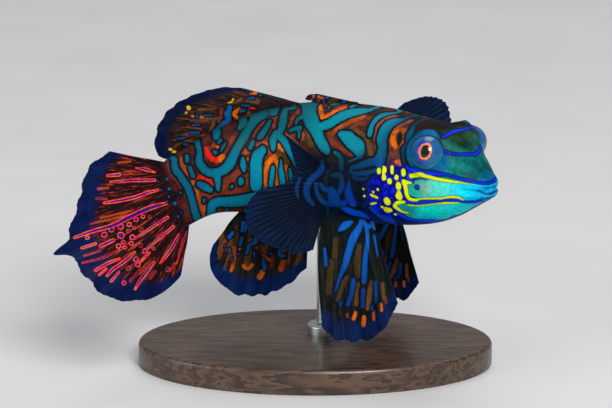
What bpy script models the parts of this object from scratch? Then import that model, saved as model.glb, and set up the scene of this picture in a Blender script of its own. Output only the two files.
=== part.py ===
"""Life-size mandarinfish on a plain display stand, in metres with +Z up.

The fish is built round one curved spine. A station is a distance along the spine from the
mouth, and a section there is a rounded oval across it. Fins are fans of rays rooted on that
body, and the stand is an oval base with one rod up to the belly.
"""

from dataclasses import dataclass

import bmesh
import bpy
import numpy as np
from mathutils import Matrix, Vector

MM = 0.001
GAP = 0.3 * MM  # clearance that neighbouring solids keep

# Driving sizes of the fish
BODY_LENGTH = 47.6 * MM  # mouth to the root of the tail fin
HEAD_END = 15.5 * MM
TORSO_END = 33.0 * MM
SPINE_END = 72.0 * MM  # the spine's line runs on through the tail fin
SPINE_STEP = 0.1 * MM
MIDDLE = 28.7 * MM  # station that the spine's line is placed from

# Pose: (station in mm, degrees). Yaw turns the forward line to the viewer's side, pitch lifts it.
YAW = ((0, 44), (8, 43), (15, 36), (22, 18), (29, 0), (35, -22), (42, -45), (48.5, -54), (55, -40), (70, -16))
PITCH = ((0, 0), (12, 0), (28, 0), (36, 3), (43, 10), (48.5, 15), (55, 17), (70, 16))
ROLL = ((0, 0), (32, 0), (40, -5), (48.5, -14), (70, -10))

# Sections: (station, value) in mm
HALF_WIDTH = ((0, 0), (0.35, 1.25), (1, 2.1), (2.2, 3), (4, 3.9), (6, 4.7), (9, 5.5), (13, 6.2), (18, 6.5),
              (25, 6.2), (32, 5.2), (37.5, 3.9), (43, 2.5), (47.6, 1.2))
BACK = ((0, 0), (0.35, 0.95), (1, 1.8), (2.2, 3.2), (4, 4.8), (6, 6), (9, 6.7), (13, 7), (18, 7.5), (25, 7.7),
        (32, 7), (37.5, 5.8), (43, 4.7), (47.6, 4.3))
BELLY = ((0, 0), (0.35, 0.95), (1, 1.5), (2.2, 2.3), (4, 3.6), (6, 5), (9, 6.2), (13, 7), (18, 7.4),
         (25, 7.4), (32, 6.9), (37.5, 6), (43, 5), (47.6, 4.6))
MOUTH_DROP = ((0, 0.55), (2, 0.45), (6, 0))
ROUNDNESS = 2 / 2.2  # exponent of the oval: 1 is an ellipse, less is squarer

# Mouth: a short level cleft between two full lips
CLEFT_LENGTH = 2.4 * MM
CLEFT_DEPTH = 0.45 * MM
CLEFT_HALF_WIDTH = 0.2 * MM
LIP_HEIGHT = 0.3 * MM
LIP_OFFSET = 0.7 * MM
LIP_HALF_WIDTH = 0.4 * MM

# Eye: a ball that looks out of a round dome of skin, high on each side
EYE_STATION = 7.3 * MM
EYE_SIDE = 3.85 * MM
EYE_HEIGHT = 3.8 * MM
GAZE_FORWARD = 0.6  # the pupil's lean forward and up, for one step out to the side
GAZE_UP = 0.35
EYE_RADIUS = 2.35 * MM
CORNEA_RISE = 0.06
DOME_RADIUS = 2.95 * MM
DOME_INSET = 0.45 * MM  # how far the dome's middle lies behind the ball's, along its gaze
DOME_BLEND = 1.1 * MM  # width of the soft valley between dome and head
OPENING_ANGLE = 68.0  # the ball shows out to this angle from its axis
TRACE_STEPS = 40

# Nostril pit in front of each eye
NOSTRIL_STATION = 4.0 * MM
NOSTRIL_ANGLE = 50.0
NOSTRIL_RADIUS = 0.32 * MM
NOSTRIL_DEPTH = 0.5 * MM

# Edge of the gill cover: a low step across the cheek
GILL_STATION = 13.0 * MM
GILL_STEP = 0.35 * MM
GILL_LENGTH = 2.2 * MM
GILL_SPREAD = 38.0

# Grid sizes
HEAD_SIDES = 56
TORSO_SIDES = 40
TAIL_SIDES = 32
HEAD_RINGS = 25
HEAD_CROWDING = 1.5  # power that draws the head's rings together towards the mouth
TORSO_RINGS = 13
TAIL_RINGS = 12

# Stand
STAND_X = 2.0 * MM
STAND_Y = -3.5 * MM
BASE_WIDTH = 46 * MM
BASE_DEPTH = 28 * MM
BASE_HEIGHT = 3.2 * MM
BASE_EDGE = 0.6 * MM
BASE_CLEARANCE = 1.0 * MM
ROD_STATION = 25.5 * MM
ROD_RADIUS = 1.0 * MM
ROD_COLLAR_RADIUS = 2.2 * MM
ROD_COLLAR_HEIGHT = 1.2 * MM


def smooth(points, x):
    """Monotone cubic through (place, value) pairs, read at x."""
    px, py = np.array(points, float).T
    step = np.diff(px)
    slope = np.diff(py) / step
    tangent = np.concatenate([slope[:1], np.zeros(len(slope) - 1), slope[-1:]])
    for i in range(1, len(slope)):
        if slope[i - 1] * slope[i] > 0:
            before = 2 * step[i] + step[i - 1]
            after = step[i] + 2 * step[i - 1]
            tangent[i] = (before + after) / (before / slope[i - 1] + after / slope[i])
    x = np.clip(np.asarray(x, float), px[0], px[-1])
    i = np.clip(np.searchsorted(px, x, side="right") - 1, 0, len(step) - 1)
    t = (x - px[i]) / step[i]
    return ((1 + 2 * t) * (1 - t) ** 2 * py[i] + t * (1 - t) ** 2 * step[i] * tangent[i]
            + t * t * (3 - 2 * t) * py[i + 1] + t * t * (t - 1) * step[i] * tangent[i + 1])


def at_station(points, station):
    """A table in mm read at stations in metres, as it stands."""
    return smooth(points, np.asarray(station) / MM)


def unit(v):
    return v / np.linalg.norm(v, axis=-1, keepdims=True)


def trace_spine():
    """The spine's line and its forward, up and left directions at every step."""
    station = np.arange(0, SPINE_END + SPINE_STEP, SPINE_STEP)
    yaw, pitch, roll = (np.radians(at_station(table, station)) for table in (YAW, PITCH, ROLL))
    forward = np.stack([np.cos(yaw) * np.cos(pitch), -np.sin(yaw) * np.cos(pitch), np.sin(pitch)], 1)
    steps = -(forward[1:] + forward[:-1]) / 2 * SPINE_STEP
    line = np.vstack([np.zeros(3), np.cumsum(steps, 0)])
    line -= line[np.searchsorted(station, MIDDLE)]
    level_up = unit(np.array([0, 0, 1.0]) - forward[:, 2:] * forward)
    level_left = np.cross(level_up, forward)
    turn, lean = np.cos(roll)[:, None], np.sin(roll)[:, None]
    up = level_up * turn - level_left * lean
    left = level_left * turn + level_up * lean
    return station, line, forward, up, left


SPINE = trace_spine()


def spine_at(station):
    """Centre, forward, up and left at each station."""
    places = SPINE[0]
    return tuple(
        np.stack([np.interp(station, places, table[:, k]) for k in range(3)], -1) for table in SPINE[1:]
    )


def section_offsets(station, angle):
    """How far the oval reaches to the left and up at an angle: 0 is the left, 90 degrees the back."""
    cosine, sine = np.cos(angle), np.sin(angle)
    width = at_station(HALF_WIDTH, station) * MM
    height = np.where(sine > 0, at_station(BACK, station), at_station(BELLY, station)) * MM
    side = width * np.sign(cosine) * np.abs(cosine) ** ROUNDNESS
    rise = height * np.sign(sine) * np.abs(sine) ** ROUNDNESS
    return side, rise


def bump(distance, half_width):
    return np.exp(-((distance / half_width) ** 2))


def relief(station, angle, side, rise):
    """Height of lips and gill covers over the plain oval."""
    reach = np.hypot(side, rise)
    from_cleft = np.abs(np.sin(angle)) * reach + np.where(np.abs(np.cos(angle)) < 0.5, 1.0, 0.0)
    along = np.clip(station / CLEFT_LENGTH, 0, None)
    mouth = np.exp(-along ** 6) * np.clip(station / (0.3 * MM), 0, 1)
    height = -CLEFT_DEPTH * bump(from_cleft, CLEFT_HALF_WIDTH) * mouth
    height = height + LIP_HEIGHT * bump(from_cleft - LIP_OFFSET, LIP_HALF_WIDTH) * mouth
    off_side = np.degrees(np.arccos(np.clip(np.abs(np.cos(angle)), 0, 1)))
    cheek = bump(off_side, GILL_SPREAD) * np.clip((station - GILL_STATION + GILL_LENGTH) / GILL_LENGTH, 0, 1)
    return height + GILL_STEP * cheek * (station <= GILL_STATION)


def gaze():
    """The pupil's direction: out to the side, forward and up."""
    return unit(np.array([1.0, GAZE_FORWARD, GAZE_UP]))


def with_domes(station, across, over, plain):
    """How far out the skin lies once the eyes' domes are melted into the head.

    Each ray starts outside everything and steps inwards by the distance still to go. That distance
    is the smaller of those to the plain body and to the nearer dome's sphere, smoothed where the
    two are alike.
    """
    side_share, forward_share, up_share = gaze()
    ahead = station - EYE_STATION - DOME_INSET * forward_share
    reach = plain + 2 * DOME_RADIUS
    for _ in range(TRACE_STEPS):
        to_body = reach - plain
        aside = np.abs(reach * across) - EYE_SIDE + DOME_INSET * side_share
        above = reach * over - EYE_HEIGHT + DOME_INSET * up_share
        to_dome = np.sqrt(ahead ** 2 + aside ** 2 + above ** 2) - DOME_RADIUS
        near = np.clip(1 - np.abs(to_body - to_dome) / DOME_BLEND, 0, 1)
        reach = reach - (np.minimum(to_body, to_dome) - near ** 2 * DOME_BLEND / 4)
    return reach


def skin(station, angle):
    """Points of the body's surface."""
    station, angle = np.broadcast_arrays(np.asarray(station, float), np.asarray(angle, float))
    centre, _, up, left = spine_at(station)
    side, rise = section_offsets(station, angle)
    plain = np.maximum(np.hypot(side, rise), 1e-9)
    across, over = side / plain, rise / plain
    reach = with_domes(station, across, over, plain + relief(station, angle, side, rise))
    drop = at_station(MOUTH_DROP, station) * MM
    return centre + left * (reach * across)[..., None] + up * (reach * over - drop)[..., None]


def body_place(points):
    """The way out from the spine at each point, and how far the point lies outside the skin."""
    places, line = SPINE[0], SPINE[1]
    flat = points.reshape(-1, 3)
    inside = places <= BODY_LENGTH
    nearest = np.argmin(((flat[:, None] - line[inside][None, ::4]) ** 2).sum(2), 1)
    station = places[inside][::4][nearest]
    for _ in range(3):
        centre, forward, up, left = spine_at(station)
        station = np.clip(station - ((flat - centre) * forward).sum(1), 0.3 * MM, BODY_LENGTH)
    centre, forward, up, left = spine_at(station)
    away = flat - centre
    away = away - forward * (away * forward).sum(1)[:, None]
    across, over = (away * left).sum(1), (away * up).sum(1)
    width = at_station(HALF_WIDTH, station)
    height = np.where(over > 0, at_station(BACK, station), at_station(BELLY, station))
    power = 1 / ROUNDNESS
    cosine = np.sign(across) * np.abs(across / width) ** power
    sine = np.sign(over) * np.abs(over / height) ** power
    side, rise = section_offsets(station, np.arctan2(sine, cosine))
    reach = np.hypot(across, over)
    out = away / np.maximum(reach, 1e-9)[:, None]
    return out.reshape(points.shape), (reach - np.hypot(side, rise)).reshape(points.shape[:-1])


def kept_clear(points, least):
    """Points moved straight out from the spine until they stand at least this far off the skin."""
    for _ in range(2):
        out, height = body_place(points)
        points = points + out * np.clip(least - height, 0, None)[..., None]
    return points


def settled(points, height):
    """Points moved to stand exactly this far off the skin."""
    for _ in range(2):
        out, now = body_place(points)
        points = points + out * (height - now)[..., None]
    return points


@dataclass
class Fin:
    """A fan of rays. Each table runs from the first ray, 0, to the last, 1."""

    name: str
    rays: int
    columns_per_ray: int
    rows: int
    length: tuple  # mm
    stations: tuple = ()  # where rays are rooted, mm
    angles: tuple = ()  # round the body, degrees
    aft: tuple = ()  # direction of each ray
    up: tuple = ()
    left: tuple = ()
    bow: tuple = ((0, 0), (1, 0))  # how far a ray bends out half way along, towards the last ray, mm
    ripple: float = 0.0  # mm
    waves: float = 2.0
    root_thickness: float = 0.9  # mm
    ridge: float = 0.3  # mm
    scallop: float = 0.022  # how far the margin draws in between rays, as a share of their length

    def sheet(self, across, along):
        """Middle surface of the fin."""
        station = smooth(self.stations, across) * MM
        angle = np.radians(smooth(self.angles, across))
        _, forward, up, left = spine_at(station)
        root = settled(skin(station, angle), GAP)
        way = unit(-forward * smooth(self.aft, across)[..., None] + up * smooth(self.up, across)[..., None]
                   + left * smooth(self.left, across)[..., None])
        reach = smooth(self.length, across) * MM * along
        wave = self.ripple * MM * np.sin(2 * np.pi * self.waves * across) * along ** 2
        side = unit(np.cross(way, forward))
        span = way[-1, 0] - way[0, 0]
        lean = unit(span - way * (way @ span)[..., None])
        bulge = smooth(self.bow, across) * MM * np.sin(np.pi * along)
        return root + way * reach[..., None] + side * wave[..., None] + lean * bulge[..., None]

    def finished(self, points, thickness):
        """Keeps the sheet off the body, and gives its two faces."""
        normal = sheet_normals(points)
        points = kept_clear(points, GAP + thickness / 2)
        faces = [points + normal * (thickness * turn / 2)[..., None] for turn in (1, -1)]
        for face in faces:
            face[:, 0] = settled(face[:, 0], GAP)
        return faces


@dataclass
class TailFin(Fin):
    """The tail fin: a fan in the plane of the spine, rooted across the end of the tail."""

    top: float = 4.3
    bottom: float = -4.6
    spread: tuple = ((0, 34), (0.5, 0), (0.8, -23), (1, -46))

    def sheet(self, across, along):
        root = (self.top + (self.bottom - self.top) * across) * MM
        slant = np.radians(smooth(self.spread, across))
        reach = smooth(self.length, across) * MM * along
        station = BODY_LENGTH + GAP + reach * np.cos(slant)
        centre, _, up, left = spine_at(station)
        wave = self.ripple * MM * np.sin(2 * np.pi * self.waves * across) * along ** 2
        return centre + up * (root + reach * np.sin(slant))[..., None] + left * wave[..., None]

    def finished(self, points, thickness):
        normal = sheet_normals(points)
        return [points + normal * (thickness * turn / 2)[..., None] for turn in (1, -1)]


def level(value):
    return ((0, value), (1, value))


FINS = (
    TailFin(
        "fin_caudal", rays=11, columns_per_ray=4, rows=9,
        length=((0, 8.5), (0.12, 11.8), (0.3, 14.5), (0.5, 17), (0.7, 16.2), (0.88, 12), (1, 6.6)),
        ripple=0.5, waves=2.5, root_thickness=1.9,
    ),
    Fin(
        "fin_dorsal_first", rays=4, columns_per_ray=6, rows=5,
        length=((0, 6.2), (0.5, 4.2), (1, 1.5)),
        stations=((0, 20.4), (1, 26.6)), angles=level(90),
        aft=level(0.97), up=((0, 0.15), (1, 0.25)), left=level(0),
        root_thickness=0.8, ridge=0.25,
    ),
    Fin(
        "fin_dorsal_second", rays=9, columns_per_ray=4, rows=7,
        length=((0, 7.2), (0.15, 8), (0.5, 10), (0.8, 9.8), (0.92, 8.6), (1, 6)),
        stations=((0, 28.5), (1, 42)), angles=level(90),
        aft=((0, 0.97), (0.5, 0.94), (1, 1)),
        up=((0, 0.26), (0.2, 0.35), (0.5, 0.34), (0.8, 0.2), (1, -0.13)),
        left=level(-0.05), ripple=0.25,
    ),
    Fin(
        "fin_anal", rays=8, columns_per_ray=4, rows=7,
        length=((0, 7), (0.2, 9.6), (0.45, 11.2), (0.7, 11.2), (0.9, 9.2), (1, 5.5)),
        stations=((0, 27.5), (1, 37.5)), angles=level(-90),
        aft=((0, 0.05), (0.5, 0.18), (0.85, 0.42), (1, 0.85)),
        up=((0, -1), (0.5, -0.97), (0.85, -0.85), (1, -0.7)),
        left=level(0), ripple=0.4,
    ),
    Fin(
        "fin_pelvic_right", rays=6, columns_per_ray=6, rows=9,
        length=((0, 11), (0.2, 14.2), (0.45, 15.9), (0.7, 16.2), (0.9, 15.8), (1, 14.6)),
        stations=((0, 17), (1, 25.2)), angles=((0, 243), (1, 231)),
        aft=((0, -0.52), (0.25, -0.34), (0.5, -0.2), (1, -0.06)),
        up=level(-0.95), left=level(-0.25), bow=((0, 0), (0.5, 0.2), (1, 0.6)), ripple=0.5, waves=1.5,
    ),
    Fin(
        "fin_pelvic_left", rays=6, columns_per_ray=6, rows=9,
        length=((0, 11), (0.2, 14.2), (0.45, 15.4), (0.7, 14.6), (0.9, 12.6), (1, 10.5)),
        stations=((0, 17), (1, 20.5)), angles=((0, -63), (1, -48)),
        aft=((0, -0.1), (0.35, 0.15), (0.7, 0.35), (1, 0.6)),
        up=level(-0.95), left=level(0.35), ripple=0.5, waves=1.5,
    ),
    Fin(
        "fin_pectoral_right", rays=28, columns_per_ray=2, rows=7,
        length=((0, 7.5), (0.12, 5.4), (0.22, 4.4), (0.29, 4.8), (0.345, 9.2), (0.42, 10.6), (0.55, 11.2),
                (0.8, 9), (1, 7.2)),
        stations=((0, 23.3), (1, 24.2)), angles=((0, 178), (1, 212)),
        aft=((0, 0.7), (0.3, 1), (0.6, 0.8), (1, 0.2)),
        up=((0, 0.75), (0.2, 0.42), (0.34, -0.08), (0.6, -0.45), (1, -1)),
        left=((0, -0.5), (1, -0.35)), root_thickness=1.2, ridge=0.2, scallop=0.01,
    ),
    Fin(
        "fin_pectoral_left", rays=28, columns_per_ray=2, rows=7,
        length=((0, 9), (0.12, 12.5), (0.3, 14.8), (0.6, 13.5), (1, 9)),
        stations=((0, 23.3), (1, 24.2)), angles=((0, 2), (1, -32)),
        aft=((0, -0.7), (0.3, -0.85), (0.6, -0.95), (1, -0.7)),
        up=((0, 0.66), (0.15, 0.6), (0.3, 0.47), (0.6, 0), (1, -0.6)),
        left=((0, 0.35), (1, 0.5)), root_thickness=1.2, ridge=0.2, scallop=0.01,
    ),
)
MEMBRANE = ((0.18, 0.62), (0.75, 0.5), (1, 0.3))  # thickness in mm past the root, by the share along the ray


def sheet_normals(points):
    across = np.gradient(points, axis=0)
    along = np.gradient(points, axis=1)
    return unit(np.cross(across, along))


def ridge_share(column, columns_per_ray, along):
    """How high the ray stands at a column of the grid: one ridge at the root, two branches past half way."""
    phase = column % columns_per_ray
    if columns_per_ray == 2:
        return np.where(phase[:, None] == 0, 1.0, 0.0) * np.ones_like(along)
    beside = np.minimum(phase, columns_per_ray - phase)
    forked = np.clip((along - 0.45) / 0.2, 0, 1)
    stem = np.where(beside == 0, 1.0, np.where(beside == 1, 0.2, 0.0))[:, None]
    fork = np.where(beside == 0, 0.45, np.where(beside == 1, 0.8, 0.0))[:, None]
    return stem * (1 - forked) + fork * forked


def object_of(name, points, faces, material, parent):
    mesh = bpy.data.meshes.new(name)
    mesh.from_pydata(points.tolist(), [], faces)
    shape = bmesh.new()
    shape.from_mesh(mesh)
    bmesh.ops.recalc_face_normals(shape, faces=shape.faces)
    shape.to_mesh(mesh)
    shape.free()
    mesh.shade_smooth()
    mesh.set_sharp_from_angle(angle=np.radians(50))
    mesh.materials.append(material)
    item = bpy.data.objects.new(name, mesh)
    bpy.context.scene.collection.objects.link(item)
    item.parent = parent
    return item


def make_fin(fin, material, parent):
    """A thin closed shell: two faces split into triangles alike, and a strip round the edge."""
    columns = (fin.rays - 1) * fin.columns_per_ray + 1
    across, along = np.meshgrid(np.linspace(0, 1, columns), np.linspace(0, 1, fin.rows), indexing="ij")
    profile = smooth(((0, fin.root_thickness),) + MEMBRANE, along)
    scallop = np.where(np.arange(columns) % fin.columns_per_ray == 0, 0.0, fin.scallop)[:, None] * along ** 4
    ridges = fin.ridge * ridge_share(np.arange(columns), fin.columns_per_ray, along) * (1 - 0.6 * along)
    thickness = (profile + ridges) * MM
    front, rear = fin.finished(fin.sheet(across, along * (1 - scallop)), thickness)
    count = columns * fin.rows
    index = np.arange(count).reshape(columns, fin.rows)
    a, b, c, d = (x.ravel() for x in (index[:-1, :-1], index[1:, :-1], index[1:, 1:], index[:-1, 1:]))
    top = np.concatenate([np.stack([a, b, c], 1), np.stack([a, c, d], 1)])
    under = top[:, ::-1] + count
    rim = np.concatenate([index[:, 0], index[-1, 1:], index[-2::-1, -1], index[0, -2:0:-1]])
    after = np.roll(rim, -1)
    edge = np.concatenate([
        np.stack([rim, rim + count, after + count], 1),
        np.stack([rim, after + count, after], 1),
    ])
    points = np.concatenate([front.reshape(-1, 3), rear.reshape(-1, 3)])
    return object_of(fin.name, points, np.concatenate([top, under, edge]).tolist(), material, parent)


def make_length(name, stations, sides, nose, material, parent):
    """A length of the body: rings of the skin, closed by flat ends, or by one point at the mouth."""
    angles = np.linspace(0, 2 * np.pi, sides, endpoint=False)
    rings = skin(np.array(stations)[:, None], angles[None, :])
    count = len(stations)
    points = rings.reshape(-1, 3)
    faces = []
    for i in range(count - 1):
        for j in range(sides):
            k = (j + 1) % sides
            faces.append((i * sides + j, i * sides + k, (i + 1) * sides + k, (i + 1) * sides + j))
    ends = [skin(0.0, 0.0) if nose else rings[0].mean(0), rings[-1].mean(0)]
    first, last = count * sides, count * sides + 1
    for j in range(sides):
        k = (j + 1) % sides
        faces.append((first, k, j))
        faces.append((last, (count - 1) * sides + j, (count - 1) * sides + k))
    return object_of(name, np.vstack([points, ends]), faces, material, parent)


def eye_centre(turn):
    centre, _, up, left = spine_at(np.array([EYE_STATION]))
    return Vector((centre + left * turn * EYE_SIDE + up * EYE_HEIGHT)[0])


def eye_axis(turn):
    """The way the pupil of one eye looks."""
    _, forward, up, left = spine_at(np.array([EYE_STATION]))
    side_share, forward_share, up_share = gaze()
    return Vector((left * turn * side_share + forward * forward_share + up * up_share)[0])


def cornea(pole):
    """Growth of the ball near its pole, where it bulges as a cornea."""
    return 1 + CORNEA_RISE * max(0.0, (pole - 0.55) / 0.45) ** 1.5


def flare(pole):
    """Growth of the socket's cutter, which opens out as a cone past the opening's edge."""
    edge = np.cos(np.radians(OPENING_ANGLE))
    return 1 + max(0.0, pole - edge + 0.12) * 0.9


def ball(name, centre, axis, radius, growth, rings, material, parent):
    """A closed ball whose pole looks along the axis, with its radius grown by a function of the height."""
    mesh = bpy.data.meshes.new(name)
    shape = bmesh.new()
    bmesh.ops.create_uvsphere(shape, u_segments=2 * rings, v_segments=rings, radius=radius)
    for vertex in shape.verts:
        vertex.co *= growth(vertex.co.z / radius)
    turn = Vector((0, 0, 1)).rotation_difference(axis).to_matrix().to_4x4()
    shape.transform(Matrix.Translation(centre) @ turn)
    shape.to_mesh(mesh)
    shape.free()
    mesh.shade_smooth()
    mesh.materials.append(material)
    item = bpy.data.objects.new(name, mesh)
    bpy.context.scene.collection.objects.link(item)
    item.parent = parent
    return item


def cut(target, cutters):
    """Removes the cutters' shapes from the target."""
    for number, cutter in enumerate(cutters):
        cutter.hide_render = True
        cutter.display_type = "WIRE"
        modifier = target.modifiers.new(f"cut_{number}", "BOOLEAN")
        modifier.operation = "DIFFERENCE"
        modifier.solver = "EXACT"
        modifier.object = cutter


def nostril_cutter(turn, material, parent):
    angle = np.radians(NOSTRIL_ANGLE if turn > 0 else 180 - NOSTRIL_ANGLE)
    place = skin(NOSTRIL_STATION, angle)
    centre = spine_at(np.array([NOSTRIL_STATION]))[0][0]
    way = Vector(unit(place - centre))
    mesh = bpy.data.meshes.new("nostril_cutter")
    shape = bmesh.new()
    bmesh.ops.create_cone(shape, cap_ends=True, segments=8, radius1=NOSTRIL_RADIUS * 0.6,
                          radius2=NOSTRIL_RADIUS, depth=2 * NOSTRIL_DEPTH)
    turned = Vector((0, 0, 1)).rotation_difference(way).to_matrix().to_4x4()
    shape.transform(Matrix.Translation(Vector(place)) @ turned)
    shape.to_mesh(mesh)
    shape.free()
    mesh.materials.append(material)
    item = bpy.data.objects.new("nostril_cutter", mesh)
    bpy.context.scene.collection.objects.link(item)
    item.parent = parent
    return item


def material_of(name, colour, roughness, metallic=0.0):
    material = bpy.data.materials.new(name)
    material.use_nodes = True
    shader = material.node_tree.nodes["Principled BSDF"]
    shader.inputs["Base Color"].default_value = (*colour, 1)
    shader.inputs["Roughness"].default_value = roughness
    shader.inputs["Metallic"].default_value = metallic
    return material


def lathe(name, profile, sides, stretch, place, material, parent):
    """A turned solid from (radius, height) pairs, stretched across Y and set at a place."""
    angles = np.linspace(0, 2 * np.pi, sides, endpoint=False)
    ring = np.stack([np.cos(angles), np.sin(angles) * stretch], 1)
    points = [(*(ring[j] * radius), height) for radius, height in profile for j in range(sides)]
    faces = [list(range(sides - 1, -1, -1)), [(len(profile) - 1) * sides + j for j in range(sides)]]
    for i in range(len(profile) - 1):
        for j in range(sides):
            k = (j + 1) % sides
            faces.append([i * sides + j, i * sides + k, (i + 1) * sides + k, (i + 1) * sides + j])
    return object_of(name, np.array(points) + np.array(place), faces, material, parent)


def lowest(items):
    return min(vertex.co.z for item in items for vertex in item.data.vertices)


def make_stand(fish, parent):
    """An oval base just under the fins, and a rod from it to the belly."""
    wood = material_of("stand_wood", (0.05, 0.032, 0.022), 0.4)
    steel = material_of("stand_steel", (0.6, 0.61, 0.62), 0.25, 1.0)
    top = lowest(fish) - BASE_CLEARANCE
    half = BASE_WIDTH / 2
    base = ((half - BASE_EDGE / 2, 0), (half, BASE_EDGE / 2), (half, BASE_HEIGHT - BASE_EDGE),
            (half - BASE_EDGE, BASE_HEIGHT))
    place = (STAND_X, STAND_Y, top - BASE_HEIGHT)
    lathe("stand_base", base, 48, BASE_DEPTH / BASE_WIDTH, place, wood, parent)
    belly = skin(ROD_STATION, -np.pi / 2)
    height = belly[2] - top - 2 * GAP
    shoulder = ROD_COLLAR_HEIGHT * 0.6
    rod = ((ROD_COLLAR_RADIUS, 0), (ROD_COLLAR_RADIUS, shoulder), (ROD_RADIUS, ROD_COLLAR_HEIGHT),
           (ROD_RADIUS, height))
    lathe("stand_rod", rod, 16, 1.0, (belly[0], belly[1], top + GAP), steel, parent)


def make_fish(parent):
    flesh = material_of("skin_blue_orange", (0.02, 0.2, 0.27), 0.35)
    fin_colour = material_of("fin_blue", (0.02, 0.07, 0.3), 0.35)
    eye_colour = material_of("eye_blue", (0.03, 0.2, 0.5), 0.12)
    share = np.arange(1, HEAD_RINGS + 1) / HEAD_RINGS
    head_stations = (HEAD_END - GAP / 2) * share ** HEAD_CROWDING
    head = make_length("head", head_stations, HEAD_SIDES, True, flesh, parent)
    torso_stations = np.linspace(HEAD_END + GAP / 2, TORSO_END - GAP / 2, TORSO_RINGS)
    torso = make_length("torso", torso_stations, TORSO_SIDES, False, flesh, parent)
    tail_stations = np.linspace(TORSO_END + GAP / 2, BODY_LENGTH, TAIL_RINGS)
    tail = make_length("tail", tail_stations, TAIL_SIDES, False, flesh, parent)
    sockets, eyes = [], []
    for side, turn in (("left", 1), ("right", -1)):
        place, axis = eye_centre(turn), eye_axis(turn)
        sockets.append(ball("socket_cutter", place, axis, EYE_RADIUS + GAP, flare, 12, eye_colour, parent))
        eyes.append(ball(f"eye_{side}", place, axis, EYE_RADIUS, cornea, 12, eye_colour, parent))
    cut(head, sockets + [nostril_cutter(turn, flesh, parent) for turn in (1, -1)])
    fins = [make_fin(fin, fin_colour, parent) for fin in FINS]
    return [head, torso, tail] + eyes + fins


def centre_on_origin(holder):
    """Moves the holder so that the model stands on Z = 0 with its box centred on X and Y."""
    bpy.context.view_layer.update()
    items = [item for item in holder.children if not item.hide_render]
    points = np.array([vertex.co for item in items for vertex in item.data.vertices])
    low, high = points.min(0), points.max(0)
    holder.location = (-(low[0] + high[0]) / 2, -(low[1] + high[1]) / 2, -low[2])


def main():
    for item in list(bpy.data.objects):
        bpy.data.objects.remove(item)
    holder = bpy.data.objects.new("model_origin", None)
    bpy.context.scene.collection.objects.link(holder)
    make_stand(make_fish(holder), holder)
    centre_on_origin(holder)


main()
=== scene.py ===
"""Looks of the life-size mandarinfish model on its display stand.

The body is one skin round the same curved spine as the solids, the fins are fine closed membranes
with branching rays, and each eye is a ball with a clear bulge. Coloured bands, lines and dots are
strokes chosen in the photo's 612 x 408 frame. Each is cast on the surface and measured
there on the unbent fish, so both sides wear the same markings. Lengths are in metres, except for
tables and for values whose comments say mm.
"""

import logging
import math
from dataclasses import dataclass
from enum import Enum
from typing import Dict, List, Optional, Sequence, Tuple, Union

import bpy
import numpy as np
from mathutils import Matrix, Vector
from mathutils.bvhtree import BVHTree

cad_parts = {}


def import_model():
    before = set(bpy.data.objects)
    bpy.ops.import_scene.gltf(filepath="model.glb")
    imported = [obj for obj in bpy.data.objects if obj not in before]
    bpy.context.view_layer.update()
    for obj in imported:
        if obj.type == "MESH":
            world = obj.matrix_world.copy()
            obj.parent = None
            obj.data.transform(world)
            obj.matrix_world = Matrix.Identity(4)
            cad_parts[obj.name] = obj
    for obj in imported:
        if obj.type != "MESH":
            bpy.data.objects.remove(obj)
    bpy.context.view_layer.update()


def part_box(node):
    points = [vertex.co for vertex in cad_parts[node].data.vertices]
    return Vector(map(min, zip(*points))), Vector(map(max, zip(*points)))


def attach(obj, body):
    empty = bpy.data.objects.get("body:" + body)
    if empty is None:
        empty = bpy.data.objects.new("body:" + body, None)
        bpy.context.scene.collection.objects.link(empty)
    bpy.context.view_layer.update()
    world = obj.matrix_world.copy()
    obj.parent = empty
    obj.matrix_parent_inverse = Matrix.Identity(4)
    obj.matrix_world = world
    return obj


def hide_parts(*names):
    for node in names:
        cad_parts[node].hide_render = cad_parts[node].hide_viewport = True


LOG = logging.getLogger("mandarinfish")

Array = np.ndarray
Table = Tuple[Tuple[float, float], ...]
Colour = Tuple[float, float, float]
Path = Tuple[Tuple[float, float, float], ...]
Socket = bpy.types.NodeSocket
Value = Union[float, Colour, Socket]

MM = 0.001
GAP = 0.3 * MM  # clearance between neighbouring solids
FAR = 9.0  # mm, the distance given to places away from every stroke


class Ember(Enum):
    """Warm colours of the lines between the bands."""

    RED = (0.55, 0.012, 0.003)
    ORANGE = (0.30, 0.055, 0.008)
    BRIGHT = (0.55, 0.10, 0.004)
    RUST = (0.15, 0.026, 0.012)
    BROWN = (0.10, 0.042, 0.012)
    PINK = (0.22, 0.05, 0.03)
    OLIVE = (0.040, 0.026, 0.008)
    YELLOW = (0.62, 0.42, 0.01)
    SHADE = (0.004, 0.009, 0.010)


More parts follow.
